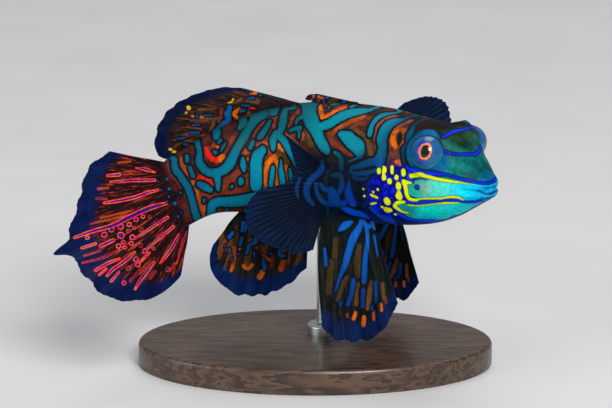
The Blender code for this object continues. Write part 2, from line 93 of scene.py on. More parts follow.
# Teal bands: (x, y, width) in the photo's pixels
TEAL_BANDS: Dict[str, Path] = {
    "tail_edge": ((174, 159, 6), (175, 168, 7), (181, 177, 7), (188, 188, 7), (192, 200, 7), (195, 212, 7),
        (198, 221, 6)),
    "great_cup": ((200, 152, 4), (199, 160, 7), (203, 168, 8), (211, 173, 8), (219, 172, 9), (228, 166, 10),
        (234, 155, 9), (239, 145, 8), (244, 137, 9), (250, 127, 8), (257, 117, 9), (264, 109, 12),
        (270, 102, 13), (272, 98, 10)),
    "cup_foot": ((217, 176, 8), (218, 184, 5), (218, 189, 4)),
    "tail_dash_high": ((187, 156, 4), (187, 161, 4)),
    "tail_dash_low": ((190, 168, 4), (193, 176, 4.5)),
    "tail_oval": ((199, 184, 6), (205, 187, 8), (211, 190, 5)),
    "tail_dot": ((204, 200, 3), (204, 201, 3)),
    "low_beam": ((211, 219, 6), (211, 211, 7), (213, 205, 9), (221, 202, 9), (232, 202, 10), (243, 201, 11),
        (253, 199, 11), (262, 197, 9), (275, 197, 8), (290, 197, 8), (302, 202, 7)),
    "mid_oval": ((243, 158, 3), (243, 164, 6), (244, 170, 4)),
    "mid_dot_front": ((241, 181, 6), (241, 181.6, 6)),
    "mid_dot_rear": ((232, 186.5, 3), (232, 187, 3)),
    "mid_fleck": ((250, 148, 4), (253, 142, 4)),
    "pillar": ((263, 150, 8), (258, 156, 11), (256, 165, 12), (256, 175, 12), (256, 184, 12)),
    "slant": ((270, 121, 3), (267, 127, 5), (262, 134, 6), (259, 138, 4)),
    "arch_rear": ((276, 134, 7), (273, 141, 7), (273, 148, 5)),
    "arch_front": ((279, 136, 6), (284, 141, 7), (289, 148, 8), (294, 156, 9), (299, 165, 9),
        (302, 172, 7)),
    "under_arch_rear": ((273, 168, 4), (272, 176, 5), (271, 184, 5)),
    "under_arch_mid": ((281, 160, 1.5), (281, 168, 4), (282, 177, 6), (283, 183, 6)),
    "under_arch_front": ((290, 170, 3), (291, 176, 4), (291, 180, 3)),
    "back_drop": ((294, 108, 3.5), (286, 109, 4), (284, 115, 7), (283, 122, 8), (281, 129, 7),
        (279, 133, 6)),
    "back_line": ((284, 101, 4), (292, 102, 4), (300, 103, 4)),
    "fork_stem": ((310, 103, 13), (309, 112, 14), (311, 120, 15), (316, 130, 12), (320, 140, 10),
        (323.6, 146, 10), (327, 150.6, 7)),
    "fork_arm": ((320, 127, 9), (330, 123, 9), (340, 117, 9), (350, 113, 8), (360, 111, 7), (370, 110, 4)),
    "fork_spur": ((304, 116, 5), (298, 119, 3.5), (296, 123, 3)),
    "fork_twig": ((300, 128, 5), (294, 129, 4), (290, 131, 3)),
    "fork_bud": ((299, 131, 3), (299, 137, 2.5)),
    "shoulder_oval": ((340, 134, 6), (345, 136, 11), (351, 141, 14), (358, 147, 14), (362, 152, 7)),
    "nape_hook": ((370, 134, 5), (371, 128, 4.5), (374, 122, 4), (379, 117, 4), (386, 114, 3.5),
        (394, 113, 2.5)),
    "nape_band": ((403, 120, 3), (396, 121, 6), (389, 125, 9), (384, 132, 10), (382, 140, 10),
        (383, 146, 8), (382, 155, 10), (380, 162, 10)),
    "behind_eye": ((413, 127, 4), (410, 135, 5), (408, 143, 5), (404, 150, 5), (404, 158, 4),
        (406, 165, 2.5)),
    "back_dot": ((329, 107, 3), (329, 107.6, 3)),
    "cup_dot": ((215, 152, 4), (215.6, 152.6, 4)),
    "root_dot_high": ((173, 194.6, 2.8), (173, 195.2, 2.8)),
    "root_dot_fore": ((180.6, 192.6, 2.4), (180.6, 193, 2.4)),
    "root_dot_mid": ((180, 212.4, 2.8), (180, 213, 2.8)),
    "root_dot_low": ((187.4, 224.2, 2.8), (187.4, 224.8, 2.8)),
    "cup_leaf": ((220.6, 151.4, 1.6), (222.6, 147.6, 3), (225.4, 143.4, 2)),
    "cup_leaf_high": ((218.6, 142.6, 2.6), (221, 140, 3.4)),
}

# Blue waves of the chest, which run on over the root of the pectoral fin
CHEST_BANDS: Dict[str, Path] = {
    "bar": ((334.5, 152.5, 3.5), (338.5, 155, 4.5), (341, 160, 5.5), (341.5, 168, 4.6)),
    "rear": ((322.4, 162, 4), (322, 167, 6.4), (319.5, 171.5, 7), (313, 177, 7), (308, 183, 7),
        (306, 190, 7), (308, 198, 6), (312.5, 204, 4)),
    "rear_edge": ((300, 178, 3), (297.5, 184, 4), (296.5, 190, 4), (298, 198, 2.5)),
    "wave_high": ((351, 167.6, 3.5), (357, 166.8, 5), (363, 164.6, 7), (369, 162.6, 8), (376, 161, 9),
        (381, 156, 9)),
    "wave_top": ((349, 161.6, 2.4), (356, 158.6, 2.4), (362, 157, 1.8)),
    "wave_mid": ((349.5, 172, 3), (356, 173.6, 4.4), (364, 173.2, 5.4), (372, 171.4, 4.6),
        (377.4, 169.6, 2.6)),
    "wave_low": ((352, 177, 2), (357.5, 179.2, 3), (363, 179.2, 3), (368.6, 177.4, 2)),
    "lobe_rim": ((316, 183, 4.4), (316, 189, 4.6), (318.5, 196, 5), (323, 201.6, 5.4), (329, 204, 6),
        (337, 204, 6.4), (345, 202.6, 6)),
    "lobe_heart": ((320.6, 183.6, 4.4), (322.6, 187, 5), (327.6, 190, 6.6), (332, 194, 11), (334, 198, 12)),
    "lobe_whorl": ((331, 175.4, 4), (337, 174.6, 5), (341.6, 178.6, 5.4), (341.8, 185.6, 5.6),
        (339.4, 191.4, 5)),
    "drop": ((349.4, 181.6, 2.6), (348.6, 189, 5.4), (349.4, 197, 8.6), (352, 201.6, 8)),
    "lobe_tail": ((327.4, 207.6, 2.6), (327.6, 212, 2.8), (328, 216.4, 2.2)),
    "fin_hem": ((343.5, 208.8, 4), (350, 211.4, 6.4), (357, 213.6, 6), (362, 214.8, 6),
        (366.4, 217.4, 4.6)),
    "belly_hem": ((372, 208.6, 4.6), (379, 213.2, 7), (386.6, 218.4, 8), (393, 222.6, 8)),
}

# Mottled royal blue between cheek and chest
BIB: Dict[str, Path] = {
    "bib": ((402, 166, 4), (396, 172, 10), (388, 182, 18), (382, 192, 27), (384, 202, 27), (390, 211, 14)),
}

# Warm lines between the bands, each with its colour
EMBERS: Dict[str, Tuple[Ember, Path]] = {
    "cup_lining": (Ember.RED, ((206.5, 148.5, 2.6), (208.4, 154, 4.4), (212.6, 158, 4.8), (218, 159, 4.6))),
    "cup_lining_turn": (Ember.BRIGHT, ((217, 159.2, 4), (221, 159.2, 4.6), (224, 155.6, 4))),
    "cup_lining_rise": (Ember.RUST, ((224.4, 155, 3.6), (227, 149.4, 4), (229.4, 144, 3.6),
        (233, 137.6, 3))),
    "cup_fleck": (Ember.BRIGHT, ((218.4, 149, 3.4), (218.8, 146.4, 3.2), (221, 144.6, 2))),
    "cup_core": (Ember.RUST, ((212.6, 150, 3), (213.6, 147, 3.6), (215, 144, 3))),
    "tail_bar": (Ember.ORANGE, ((182, 160, 3.5), (184, 168, 4), (189, 176, 4), (193, 182, 4),
        (197, 193, 4.5), (201, 204, 5), (205, 216, 4.5), (206, 220, 3))),
    "tail_bar_arm": (Ember.RED, ((196, 179, 3), (203, 177, 4), (210, 180, 5), (213, 183, 4))),
    "tail_bar_foot": (Ember.RUST, ((203, 193, 4), (210, 196, 4), (217, 196, 4))),
    "mid_web": (Ember.RUST, ((248, 172, 5), (238, 173, 5), (233, 178, 5), (226, 183, 5), (228, 191, 5),
        (238, 191, 5), (246, 186, 5), (248, 176, 4))),
    "oval_hem": (Ember.BRIGHT, ((248, 160, 2), (249, 168, 2), (248, 174, 2))),
    "mid_twist": (Ember.ORANGE, ((240, 158, 2.5), (247, 151, 3), (256, 146, 3), (264, 143, 3),
        (269, 146, 3), (270, 152, 3))),
    "up_slope": (Ember.RUST, ((246, 143, 4), (254, 132, 4), (262, 122, 4), (270, 114, 4), (277, 106, 5),
        (281, 102, 4))),
    "up_slope_two": (Ember.RUST, ((268, 139, 3), (272, 130, 3.5), (274, 120, 3.5), (277, 111, 4))),
    "pillar_lining": (Ember.BRIGHT, ((275, 157, 4), (270, 161, 4), (267, 168, 4), (266, 176, 4),
        (266, 184, 3.5))),
    "arch_keystone": (Ember.BRIGHT, ((279, 146, 5), (284, 149, 4))),
    "arch_ray_rear": (Ember.BRIGHT, ((277, 163, 3), (277, 172, 2.4), (277, 184, 3.5))),
    "arch_ray_mid": (Ember.BRIGHT, ((286, 168, 3), (288, 177, 3), (290, 182, 2))),
    "arch_ray_front": (Ember.BROWN, ((286, 158, 3), (291, 166, 4), (295, 174, 4), (296, 179, 3))),
    "arch_hem": (Ember.ORANGE, ((280, 133, 3), (287, 136, 3), (292, 140, 3), (297, 146, 3), (301, 152, 3),
        (303, 156, 2))),
    "arch_hem_fleck": (Ember.BROWN, ((294, 134, 3), (290, 136, 3))),
    "fork_side_low": (Ember.BROWN, ((307, 128, 4), (309, 136, 6), (311, 144, 4))),
    "fork_side_dot": (Ember.ORANGE, ((302, 136, 4), (302, 137, 4))),
    "fork_side_high": (Ember.RUST, ((300, 109, 3), (297, 114, 3), (291, 122, 3), (288, 128, 3))),
    "back_peak": (Ember.PINK, ((281, 103, 4), (276, 109, 3.5))),
    "fork_lap": (Ember.BRIGHT, ((319, 105, 3), (321, 112, 3.5), (323, 118, 4), (330, 115, 3.5),
        (338, 110, 3), (346, 107, 2.5))),
    "fork_lap_high": (Ember.RUST, ((327, 106, 2.5), (336, 105, 3), (346, 105, 2))),
    "tail_hem": (Ember.RUST, ((169, 160, 1.5), (170, 171, 1.5), (175.5, 178, 1.8), (181.6, 186, 1.8),
        (186, 195, 1.8), (189.4, 205, 1.6), (191, 216, 1.5))),
    "shoulder_line": (Ember.ORANGE, ((330, 136, 3), (335, 131, 2.5), (341, 127, 3), (346, 124, 3),
        (354, 120, 3), (363, 117, 3))),
    "shoulder_low": (Ember.RUST, ((330, 134, 4), (332, 141, 4), (337, 146, 4), (345, 151, 3.5),
        (354, 156, 3.5), (363, 160, 3))),
    "shoulder_front": (Ember.BROWN, ((352, 128, 4), (359, 132, 4), (365, 139, 4), (369, 146, 4),
        (371, 155, 4))),
    "shoulder_front_high": (Ember.RUST, ((356, 124, 3), (363, 123, 3), (368, 118, 3))),
    "nape_line": (Ember.PINK, ((376, 139, 3), (376, 128, 4), (381, 124, 4), (386, 119, 3),
        (395, 116, 2.5))),
    "nape_low": (Ember.BRIGHT, ((397, 161.6, 3), (400.6, 163.6, 4.4))),
    "nape_ring_rear": (Ember.BRIGHT, ((397.4, 130.6, 2.4), (393.6, 134, 3.2), (393, 140, 3.6),
        (395.4, 146.6, 3))),
    "nape_ring_front": (Ember.ORANGE, ((401, 129, 2.4), (405.6, 132, 3), (405.6, 138, 3.4),
        (402.4, 146, 3))),
    "nape_core": (Ember.SHADE, ((399.6, 134.6, 3.6), (399.6, 140, 4.6), (399.2, 143, 3.4))),
    "nape_ring_top": (Ember.PINK, ((396, 128, 3), (402, 124, 3), (410, 121, 2.5))),
}

# Turquoise fields of the head, (x, y, width)
CHEEK_FIELDS: Dict[str, Path] = {
    "cheek": ((413, 189, 15), (425, 190, 20), (440, 190.5, 21), (455, 191, 20), (466, 192.5, 19),
        (476, 193.5, 17), (486, 194, 13), (493, 191, 9)),
    "chin": ((402, 208, 8), (414, 211.5, 15), (430, 212.5, 18), (444, 211.5, 17), (456, 209, 14),
        (466, 206, 10), (476, 203.5, 5)),
}

# Blue lines of the head
BLUE_LINES: Dict[str, Path] = {
    "brow": ((443, 137, 2.5), (449, 134, 2.5), (455, 131, 2.5), (463, 129.5, 2), (472, 127.5, 2),
        (479, 128, 2), (482, 131, 1.5)),
    "bridge": ((438, 151, 2), (445, 151.5, 2.5), (453, 154, 2.5), (463, 154.5, 2.5), (474, 154.5, 2.5),
        (480, 154, 2.5), (484, 150, 2.5), (485, 145, 2)),
    "cheek_top": ((407, 167, 3), (409, 169, 3), (416, 172, 3.5), (426, 174, 3.5), (436, 174, 3),
        (445, 174.6, 2.6), (455, 177, 2.2), (464, 179.4, 2.2), (472, 181.2, 2.2), (480, 182.9, 2.2),
        (488, 183, 2.2), (493, 181.4, 1.6)),
    "cheek_hook": ((409, 172, 3), (408, 178, 3.5), (412, 181, 3.5)),
    "jaw": ((404, 201, 2.5), (415, 202.5, 2.5), (425, 202, 2.5), (436, 201, 2.5), (448, 200, 2.5),
        (457, 200, 2.5), (465, 202, 2), (474, 202, 2), (480, 200, 2)),
    "chin_hem": ((398, 213, 3), (408, 219, 3), (416, 220.5, 3), (426, 221, 3.5), (437, 221, 4),
        (446, 219.5, 3), (455, 216, 3)),
    "cheek_dot": ((417, 187, 3.4), (417, 187.6, 3.4)),
    "collar": ((401, 170, 2), (401, 178, 2.5), (401, 188, 2), (403, 197, 2.5)),
}

# Dark folds of the lips
CREASES: Dict[str, Path] = {
    "mouth": ((478, 190.4, 0.8), (482, 192.4, 1.6), (486, 193.8, 2), (490, 193.6, 2), (494, 192, 2),
        (499, 189.4, 1.6)),
    "upper": ((482, 187.6, 0.8), (486, 188.4, 1.4), (491, 187.6, 1.4), (496, 186, 1.2)),
    "lower": ((480, 197.4, 0.8), (484, 198.6, 1.4), (489, 198.4, 1.4), (494, 196, 1)),
}

# Yellow lines and dots of the cheek and the chest
YELLOW_LINES: Dict[str, Path] = {
    "cheek_top": ((411, 176, 5), (417, 175, 4), (427, 177, 3.5), (437, 179, 3.5), (446, 180.5, 3),
        (455, 182, 2.5), (462, 183, 1.5), (470, 184.5, 1)),
    "cheek_turn": ((411, 183, 2.5), (404, 182, 5), (405, 185, 4.5), (406, 190, 4), (407, 195, 4),
        (410, 199, 3.5), (416, 200, 3), (420, 199, 2), (430, 198.5, 2), (440, 198.5, 2), (450, 197, 2.5),
        (458, 197.5, 2.5), (463, 200, 1.5)),
    "chin_turn": ((404, 202, 3), (397, 203, 4), (395, 206, 4), (398, 209, 3), (403, 212, 2),
        (408, 213, 1.5)),
    "chin_top": ((408, 205, 1.5), (420, 206, 1.5), (434, 204, 1.5), (448, 203, 2), (458, 203, 1.5)),
    "dot_a": ((379, 170.6, 4.5), (379, 171.4, 4.5)),
    "dot_b": ((383.5, 169.5, 4.5), (383.5, 170.5, 4.5)),
    "dot_c": ((383.5, 177, 3.5), (383.5, 177.6, 3.5)),
    "dot_d": ((392, 167, 3.5), (392, 172.5, 3.5)),
    "dot_e": ((389.5, 181, 5), (389.5, 181.6, 5)),
    "dot_f": ((396.5, 177, 4.5), (396.5, 177.6, 4.5)),
    "dot_g": ((403.5, 171, 4.5), (403.5, 174, 4.5)),
    "dot_h": ((398.5, 185, 5.5), (398.5, 187, 5.5)),
    "dot_i": ((399, 193, 4.5), (399, 196.5, 7)),
    "dot_j": ((387, 200.4, 6), (387, 201.6, 6)),
    "dot_k": ((386, 210, 4), (390, 210, 4)),
    "dot_l": ((363, 189, 2.5), (363.6, 189, 2.5)),
    "dot_m": ((377.5, 189.5, 3), (378, 189.5, 3)),
    "dot_n": ((373, 192, 2.5), (373.6, 192, 2.5)),
    "dash_a": ((371, 195, 2.5), (377, 197.5, 2.5)),
    "dot_o": ((364, 196, 2.5), (364.6, 196, 2.5)),
    "dash_b": ((371, 204, 2.5), (376, 203, 2)),
    "dot_p": ((382, 207, 2.5), (382.6, 207, 2.5)),
    "dot_q": ((395, 214.5, 2), (395.6, 214.5, 2)),
}

# Marks that the camera doesn't see, as (station in mm, degrees round the body, width in mm)
HIDDEN_BANDS: Dict[str, Path] = {
    "tail_edge": ((46.8, 66, 0.8), (46.7, 90, 0.7)),
    "tail_top": ((43.5, 50, 0.6), (43.0, 70, 0.6), (42.4, 90, 0.8)),
    "loin_a": ((40.6, 64, 0.7), (39.8, 80, 1.0), (39.6, 90, 1.0)),
    "loin_b": ((37.3, 62, 0.6), (36.4, 74, 1.0), (36.0, 90, 1.1)),
    "loin_c": ((34.6, 70, 0.5), (34.2, 80, 0.9), (34.0, 90, 0.9)),
    "cup_top": ((32.3, 74, 1.3), (31.9, 90, 1.5)),
    "drop_top": ((29.6, 76, 0.5), (29.4, 90, 0.5)),
    "back_a": ((24.4, 82, 0.5), (23.6, 90, 0.9)),
    "back_b": ((21.6, 80, 0.6), (21.3, 90, 0.9)),
    "arm_top": ((19.0, 78, 0.8), (18.4, 90, 0.8)),
    "hook_top": ((15.6, 84, 0.5), (15.3, 90, 0.5)),
    "nape_top": ((13.4, 74, 0.7), (13.1, 90, 0.8)),
    "crown": ((11.0, 66, 0.6), (11.2, 80, 0.6), (11.3, 90, 0.7)),
    "belly_a": ((43.6, -62, 0.6), (43.2, -90, 0.7)),
    "belly_b": ((40.9, -64, 0.6), (40.6, -90, 0.6)),
    "belly_c": ((37.4, -64, 0.7), (37.0, -90, 0.7)),
    "belly_d": ((33.6, -65, 0.8), (33.4, -90, 0.9)),
    "belly_e": ((30.0, -65, 0.8), (29.8, -90, 0.8)),
    "belly_f": ((26.4, -66, 0.8), (26.2, -90, 0.9)),
    "belly_g": ((22.8, -68, 0.8), (22.5, -90, 0.9)),
    "breast": ((18.8, -70, 0.8), (18.5, -90, 0.9)),
    "throat": ((14.2, -66, 0.7), (14.0, -90, 0.8)),
}

@dataclass(frozen=True)
class Marks:
    """Marks on a fin in the photo's pixels. A path of one point is a dot."""

    streaks: Tuple[Path, ...] = ()  # a violet core in a red hem
    faint: Tuple[Path, ...] = ()  # the same, dim
    warm: Tuple[Tuple[Ember, Tuple[Path, ...]], ...] = ()
    blue: Tuple[Path, ...] = ()


CAUDAL_MARKS = Marks(
    streaks=(
        ((165.6, 203.5, 3.5), (156, 205.7, 5), (143.2, 210.4, 5), (128, 217.6, 5), (113, 225, 4.5),
            (92, 231.3, 4.2), (74.2, 237.6, 3)),
        ((158.7, 189.8, 2.5), (145.8, 193.2, 3.6), (135.4, 197.1, 3.8), (120, 200.5, 3.8),
            (103.6, 203.1, 2.8)),
        ((154.4, 180.3, 3.2), (132, 180.8, 4), (110.5, 182, 3)),
        ((154.4, 172.6, 1.5), (144, 169.5, 4), (135, 168, 2)),
        ((166.8, 217.6, 3.5), (155.2, 225, 3.6), (142.6, 233.4, 3.4), (134.2, 238.7, 3)),
        ((173, 226.6, 3), (162.6, 235.5, 3.4), (151, 245, 3.4), (142.6, 252.4, 3)),
        ((178, 234.5, 2), (172, 247, 3.2), (164.7, 257.6, 3), (159.4, 263.4, 1.8)),
        ((134.2, 252.4, 3), (123.7, 261.8, 3.8), (113, 269.2, 3.8), (106.8, 275.5, 3)),
        ((153, 262.4, 3.4), (144.7, 273.4, 4), (139.4, 280.8, 3.8), (134.7, 289.2, 2.5)),
        ((113, 240.3, 4), (100.5, 246, 4)), ((95.2, 243.9, 3.4), (81.6, 248.1, 3)),
        ((119.5, 258.7, 2.5), (106.8, 263.9, 3.5), (95.2, 270.8, 3.5)),
        ((118.4, 272.3, 3), (111, 280.8, 3.6)), ((119, 174.7, 3.8), (107, 175.6, 3)),
        ((106, 269, 3), (99, 275, 2.6)), ((149, 253, 3), (140, 262, 3)), ((142.1, 216.6, 5),),
        ((135.2, 219.7, 5.5),), ((128.4, 224.5, 5.5),), ((120, 226.6, 6.5),), ((111, 229.5, 6),),
        ((103.7, 234.5, 6.5),), ((120.5, 235.5, 7),), ((131.6, 237.1, 6),), ((118, 246, 5.5),),
        ((122.6, 242, 4.6),), ((130.6, 243.6, 5),), ((124.2, 247.8, 4.6),), ((144, 250.8, 5.5),),
        ((135.2, 259.2, 6),), ((137.3, 264.8, 5.5),), ((123.7, 282.9, 5),), ((87, 237.4, 4.4),),
    ),
    faint=(
        ((132.8, 210.4, 2), (121.7, 213, 2.5), (100, 218, 2)),
        ((127.9, 215, 2.2), (108.9, 219.6, 2.4), (90, 224, 2)), ((145, 158.8, 2), (128.5, 154.5, 2.4)),
        ((130, 161.4, 2), (118, 162.4, 2.4)), ((108, 188, 2.5), (98, 189, 3)),
        ((106, 198.8, 3), (96, 198.4, 3)), ((119.5, 249.6, 2.6), (102.6, 257.6, 3), (82, 263, 2.4)),
        ((139.4, 270.2, 3), (130, 280.8, 3)), ((155.2, 271.3, 3), (150, 278.7, 2.6)),
        ((174, 263.9, 3), (170, 271, 3)), ((185.7, 232.4, 2), (181.5, 247, 2.4), (176.3, 263.9, 2)),
        ((100, 251, 2.4), (84, 256, 2.2)), ((140.5, 229.7, 5),), ((128, 231, 4.4),), ((133.5, 228, 4),),
        ((140, 245.5, 5),), ((128, 268.4, 5.5),), ((166.8, 269.2, 5.5),), ((153, 248.7, 4),),
        ((149, 217.2, 4),),
    ),
    blue=(
        ((153.9, 157.5, 3.6),), ((159.5, 158.5, 2),), ((165, 179.4, 3),), ((167.3, 189, 3.8),),
        ((174.9, 186.6, 3),), ((167.5, 196.7, 2.8),), ((176, 195.6, 3.2), (177, 197.5, 3)),
        ((173.3, 203.5, 4.2),), ((182.4, 206.6, 2.8),), ((180.2, 211.2, 3.4), (181, 213, 3.2)),
        ((157, 181.6, 2),), ((160, 190, 2),), ((165.8, 201.6, 2),), ((176.8, 216.8, 2.6),),
        ((188.2, 225.2, 4),), ((196.4, 230.3, 2.6),), ((187.9, 218.7, 2.2),),
    ),
)
SECOND_DORSAL_MARKS = Marks(
    blue=(
        ((229.3, 107.6, 5), (227.1, 114, 7), (227.9, 119, 6), (222.1, 125, 7.5), (217, 129.2, 6),
            (210.5, 131.9, 2)),
        ((248, 98.2, 2.4), (253.5, 98, 2.4)), ((260, 95.4, 3),), ((241.5, 105, 2), (249, 105.4, 2)),
        ((240.4, 110.9, 3), (244, 110.5, 2.6)), ((238.6, 124.3, 3.4),), ((233.6, 130.7, 3),),
        ((196.4, 115, 3.2), (196.4, 117.4, 3.2)), ((203.5, 115, 2.6), (211.5, 115, 2)),
        ((191.5, 125.4, 2.4), (199, 124.6, 2.8)), ((188.5, 132.6, 2.6), (198, 132.4, 3)),
        ((177, 138.4, 2.4), (183.5, 138.2, 3)), ((204.5, 140, 2.4), (211, 139.4, 4.2), (215, 138.6, 3)),
        ((183.5, 144.6, 2), (192, 143.8, 2)), ((188, 151, 2.4), (193, 150.2, 2.4)), ((219.3, 141.8, 4.6),),
    ),
    warm=(
        (Ember.BRIGHT, (
            ((250.5, 94.4, 2.6), (256, 92.8, 3)), ((239, 109.6, 3.4), (233, 113.2, 4), (236.6, 117.5, 3)),
            ((200, 117.4, 3.4), (202, 116.8, 4)), ((186, 147, 2.4), (195, 146, 3)), ((192.1, 116.4, 3.4),),
        )),
        (Ember.RED, (
            ((228.4, 126, 3), (231, 124.6, 4), (235.2, 123.4, 3)), ((186.8, 133.6, 3.4),),
            ((249, 107.8, 2.2), (254, 108, 2)), ((201, 137.4, 1.6), (207, 137.4, 2)),
        )),
        (Ember.RUST, (
            ((248.6, 112.5, 3.6), (245, 120.7, 3.6), (242, 127, 2.6)),
            ((221.4, 108.5, 3), (220.8, 113, 3.4)), ((219.8, 117, 3.8), (218, 121, 3)),
            ((213, 124, 3), (211.6, 128, 3)), ((186, 127, 2), (200, 129.6, 2.6)),
            ((199.5, 138.2, 2), (209, 137, 2.2)), ((200, 143, 2), (210, 142.5, 2.2)),
            ((194, 122.6, 2), (207, 120.4, 2.6)),
        )),
        (Ember.BROWN, (
            ((247, 101, 4), (257, 101.6, 6)), ((198, 110, 2.4), (214, 109, 3)),
            ((206, 119.2, 2), (216, 118.6, 3)), ((196, 135.4, 2), (207, 134.2, 2.6)),
            ((232, 103.5, 2), (242, 99, 3)), ((184, 141.6, 1.6), (199, 140.6, 2)),
            ((181, 135.6, 1.6), (206, 134.8, 2.4)), ((209, 130.4, 2), (213, 122, 3)),
            ((190, 121, 1.4), (208, 118.4, 2)), ((256, 91, 2), (275, 94.4, 2.4), (298, 99.4, 2)),
        )),
        (Ember.YELLOW, (
            ((188.2, 108, 4),), ((185.5, 112.7, 2.4),),
            ((227.5, 102.8, 1.8), (231, 102, 1.8), (232.9, 99.3, 1.8)),
            ((169, 149.2, 2.4), (171, 149.4, 2.4)), ((172.6, 151.4, 2.6), (174.6, 151.6, 2.4)),
        )),
    ),
)
FIRST_DORSAL_MARKS = Marks(
    blue=(
        ((327.4, 97.9, 2.4),), ((324, 101.8, 3.2),), ((341.5, 103, 2.4), (346, 101.6, 2)),
        ((307.5, 100.6, 2),), ((316, 98.6, 1.8),),
    ),
    warm=(
        (Ember.BRIGHT, (((313.7, 96, 2), (313.7, 97.6, 2.2)), ((318.4, 96.9, 2.6),), ((311, 100.8, 3),))),
        (Ember.ORANGE, (((321, 98.3, 2.2), (323.2, 98.2, 2.2)), ((326.4, 103, 1.8), (329, 102.9, 2)))),
        (Ember.BROWN, (((318.2, 101, 2.8),),)), (Ember.OLIVE, (((328, 100.2, 2.4), (337, 99.6, 3)),)),
        (Ember.YELLOW, (((330, 102.9, 1.8), (335.4, 103, 1.8)), ((348.4, 104, 1.8), (350, 104, 1.8)))),
        (Ember.PINK, (((304.8, 97.6, 2),), ((305, 100.6, 1.8),))),
    ),
)
ANAL_MARKS = Marks(
    blue=(
        ((242.5, 222, 3), (241.4, 230.6, 3.2)), ((246.8, 222, 3), (244.2, 231, 2.6)),
        ((250.5, 221.6, 4), (254.2, 226, 4.4), (255.2, 241, 4.2), (250, 244.4, 3.6), (246.2, 253, 3)),
        ((232, 232.8, 4), (228.8, 236.6, 4.2)), ((241, 238, 3.4), (239.5, 244.5, 3.2)),
        ((229, 249, 2.6), (228.8, 252.4, 2)), ((237.8, 253.5, 2.8),), ((231.3, 259, 2.4),),
        ((224.4, 245.4, 2.2),), ((253.8, 252.5, 2.8), (253.6, 256, 2.8)),
        ((264, 237, 2.8), (263.2, 241.6, 3.2), (270.5, 241.2, 3), (272, 245, 2.6)), ((271, 253.5, 2.4),),
        ((262.6, 260, 4), (264.4, 268, 5)), ((278, 239.6, 3),), ((285, 240.6, 3), (285.8, 242.8, 3)),
        ((279.2, 250.5, 2.6), (280.6, 256, 3), (285, 255.4, 2.6)), ((293, 246.5, 2.8), (293.8, 253.6, 2.6)),
    ),
    warm=(
        (Ember.BRIGHT, (
            ((243.4, 265.6, 4), (247.2, 268, 4.6), (251.6, 265, 4)), ((262.4, 271, 5), (259.6, 276, 6)),
            ((239, 248.6, 3),), ((232.2, 265, 4), (230.8, 270, 3.6)),
        )),
        (Ember.ORANGE, (
            ((250, 251, 2.6), (248.2, 257, 3)), ((233.8, 246.5, 3.4), (234.5, 255, 3.4), (232.6, 264, 4)),
            ((283.6, 262, 5.6), (280.8, 269, 6)), ((262, 255, 2.6), (269.5, 260, 3.4)),
        )),
        (Ember.BROWN, (
            ((228, 255, 2.4), (224, 269, 2.8)), ((281.3, 242, 2.6), (283, 249, 3)),
            ((299, 248, 4), (299.4, 255, 5), (296.2, 264, 3.4)), ((248, 258, 6), (247.6, 264, 7)),
        )),
        (Ember.PINK, (((224.6, 240.6, 3), (221.6, 246, 3)), ((256.4, 247.5, 2.4),))),
        (Ember.BROWN, (
            ((222, 236, 5), (219, 252, 5)), ((231, 240, 4), (229, 258, 5)),
            ((250, 240, 5), (246.6, 262, 6)), ((266, 244, 4), (262.6, 260, 4)),
            ((283, 243, 4), (281.4, 258, 4)), ((299.4, 246, 4), (298, 258, 4)),
        )),
        (Ember.RUST, (
            ((221, 250, 4), (219, 258, 3)), ((262, 246, 3.4), (262, 252, 3)),
            ((272.4, 256, 3), (272, 266, 4)), ((290, 248, 2.4), (289, 262, 3)),
            ((228, 243, 2.6), (226, 250, 2.4)),
        )),
        (Ember.OLIVE, (
            ((236, 226, 4), (236.5, 240, 4), (234, 246, 3)), ((249.5, 226, 3), (248.6, 240, 3)),
        )),
    ),
)
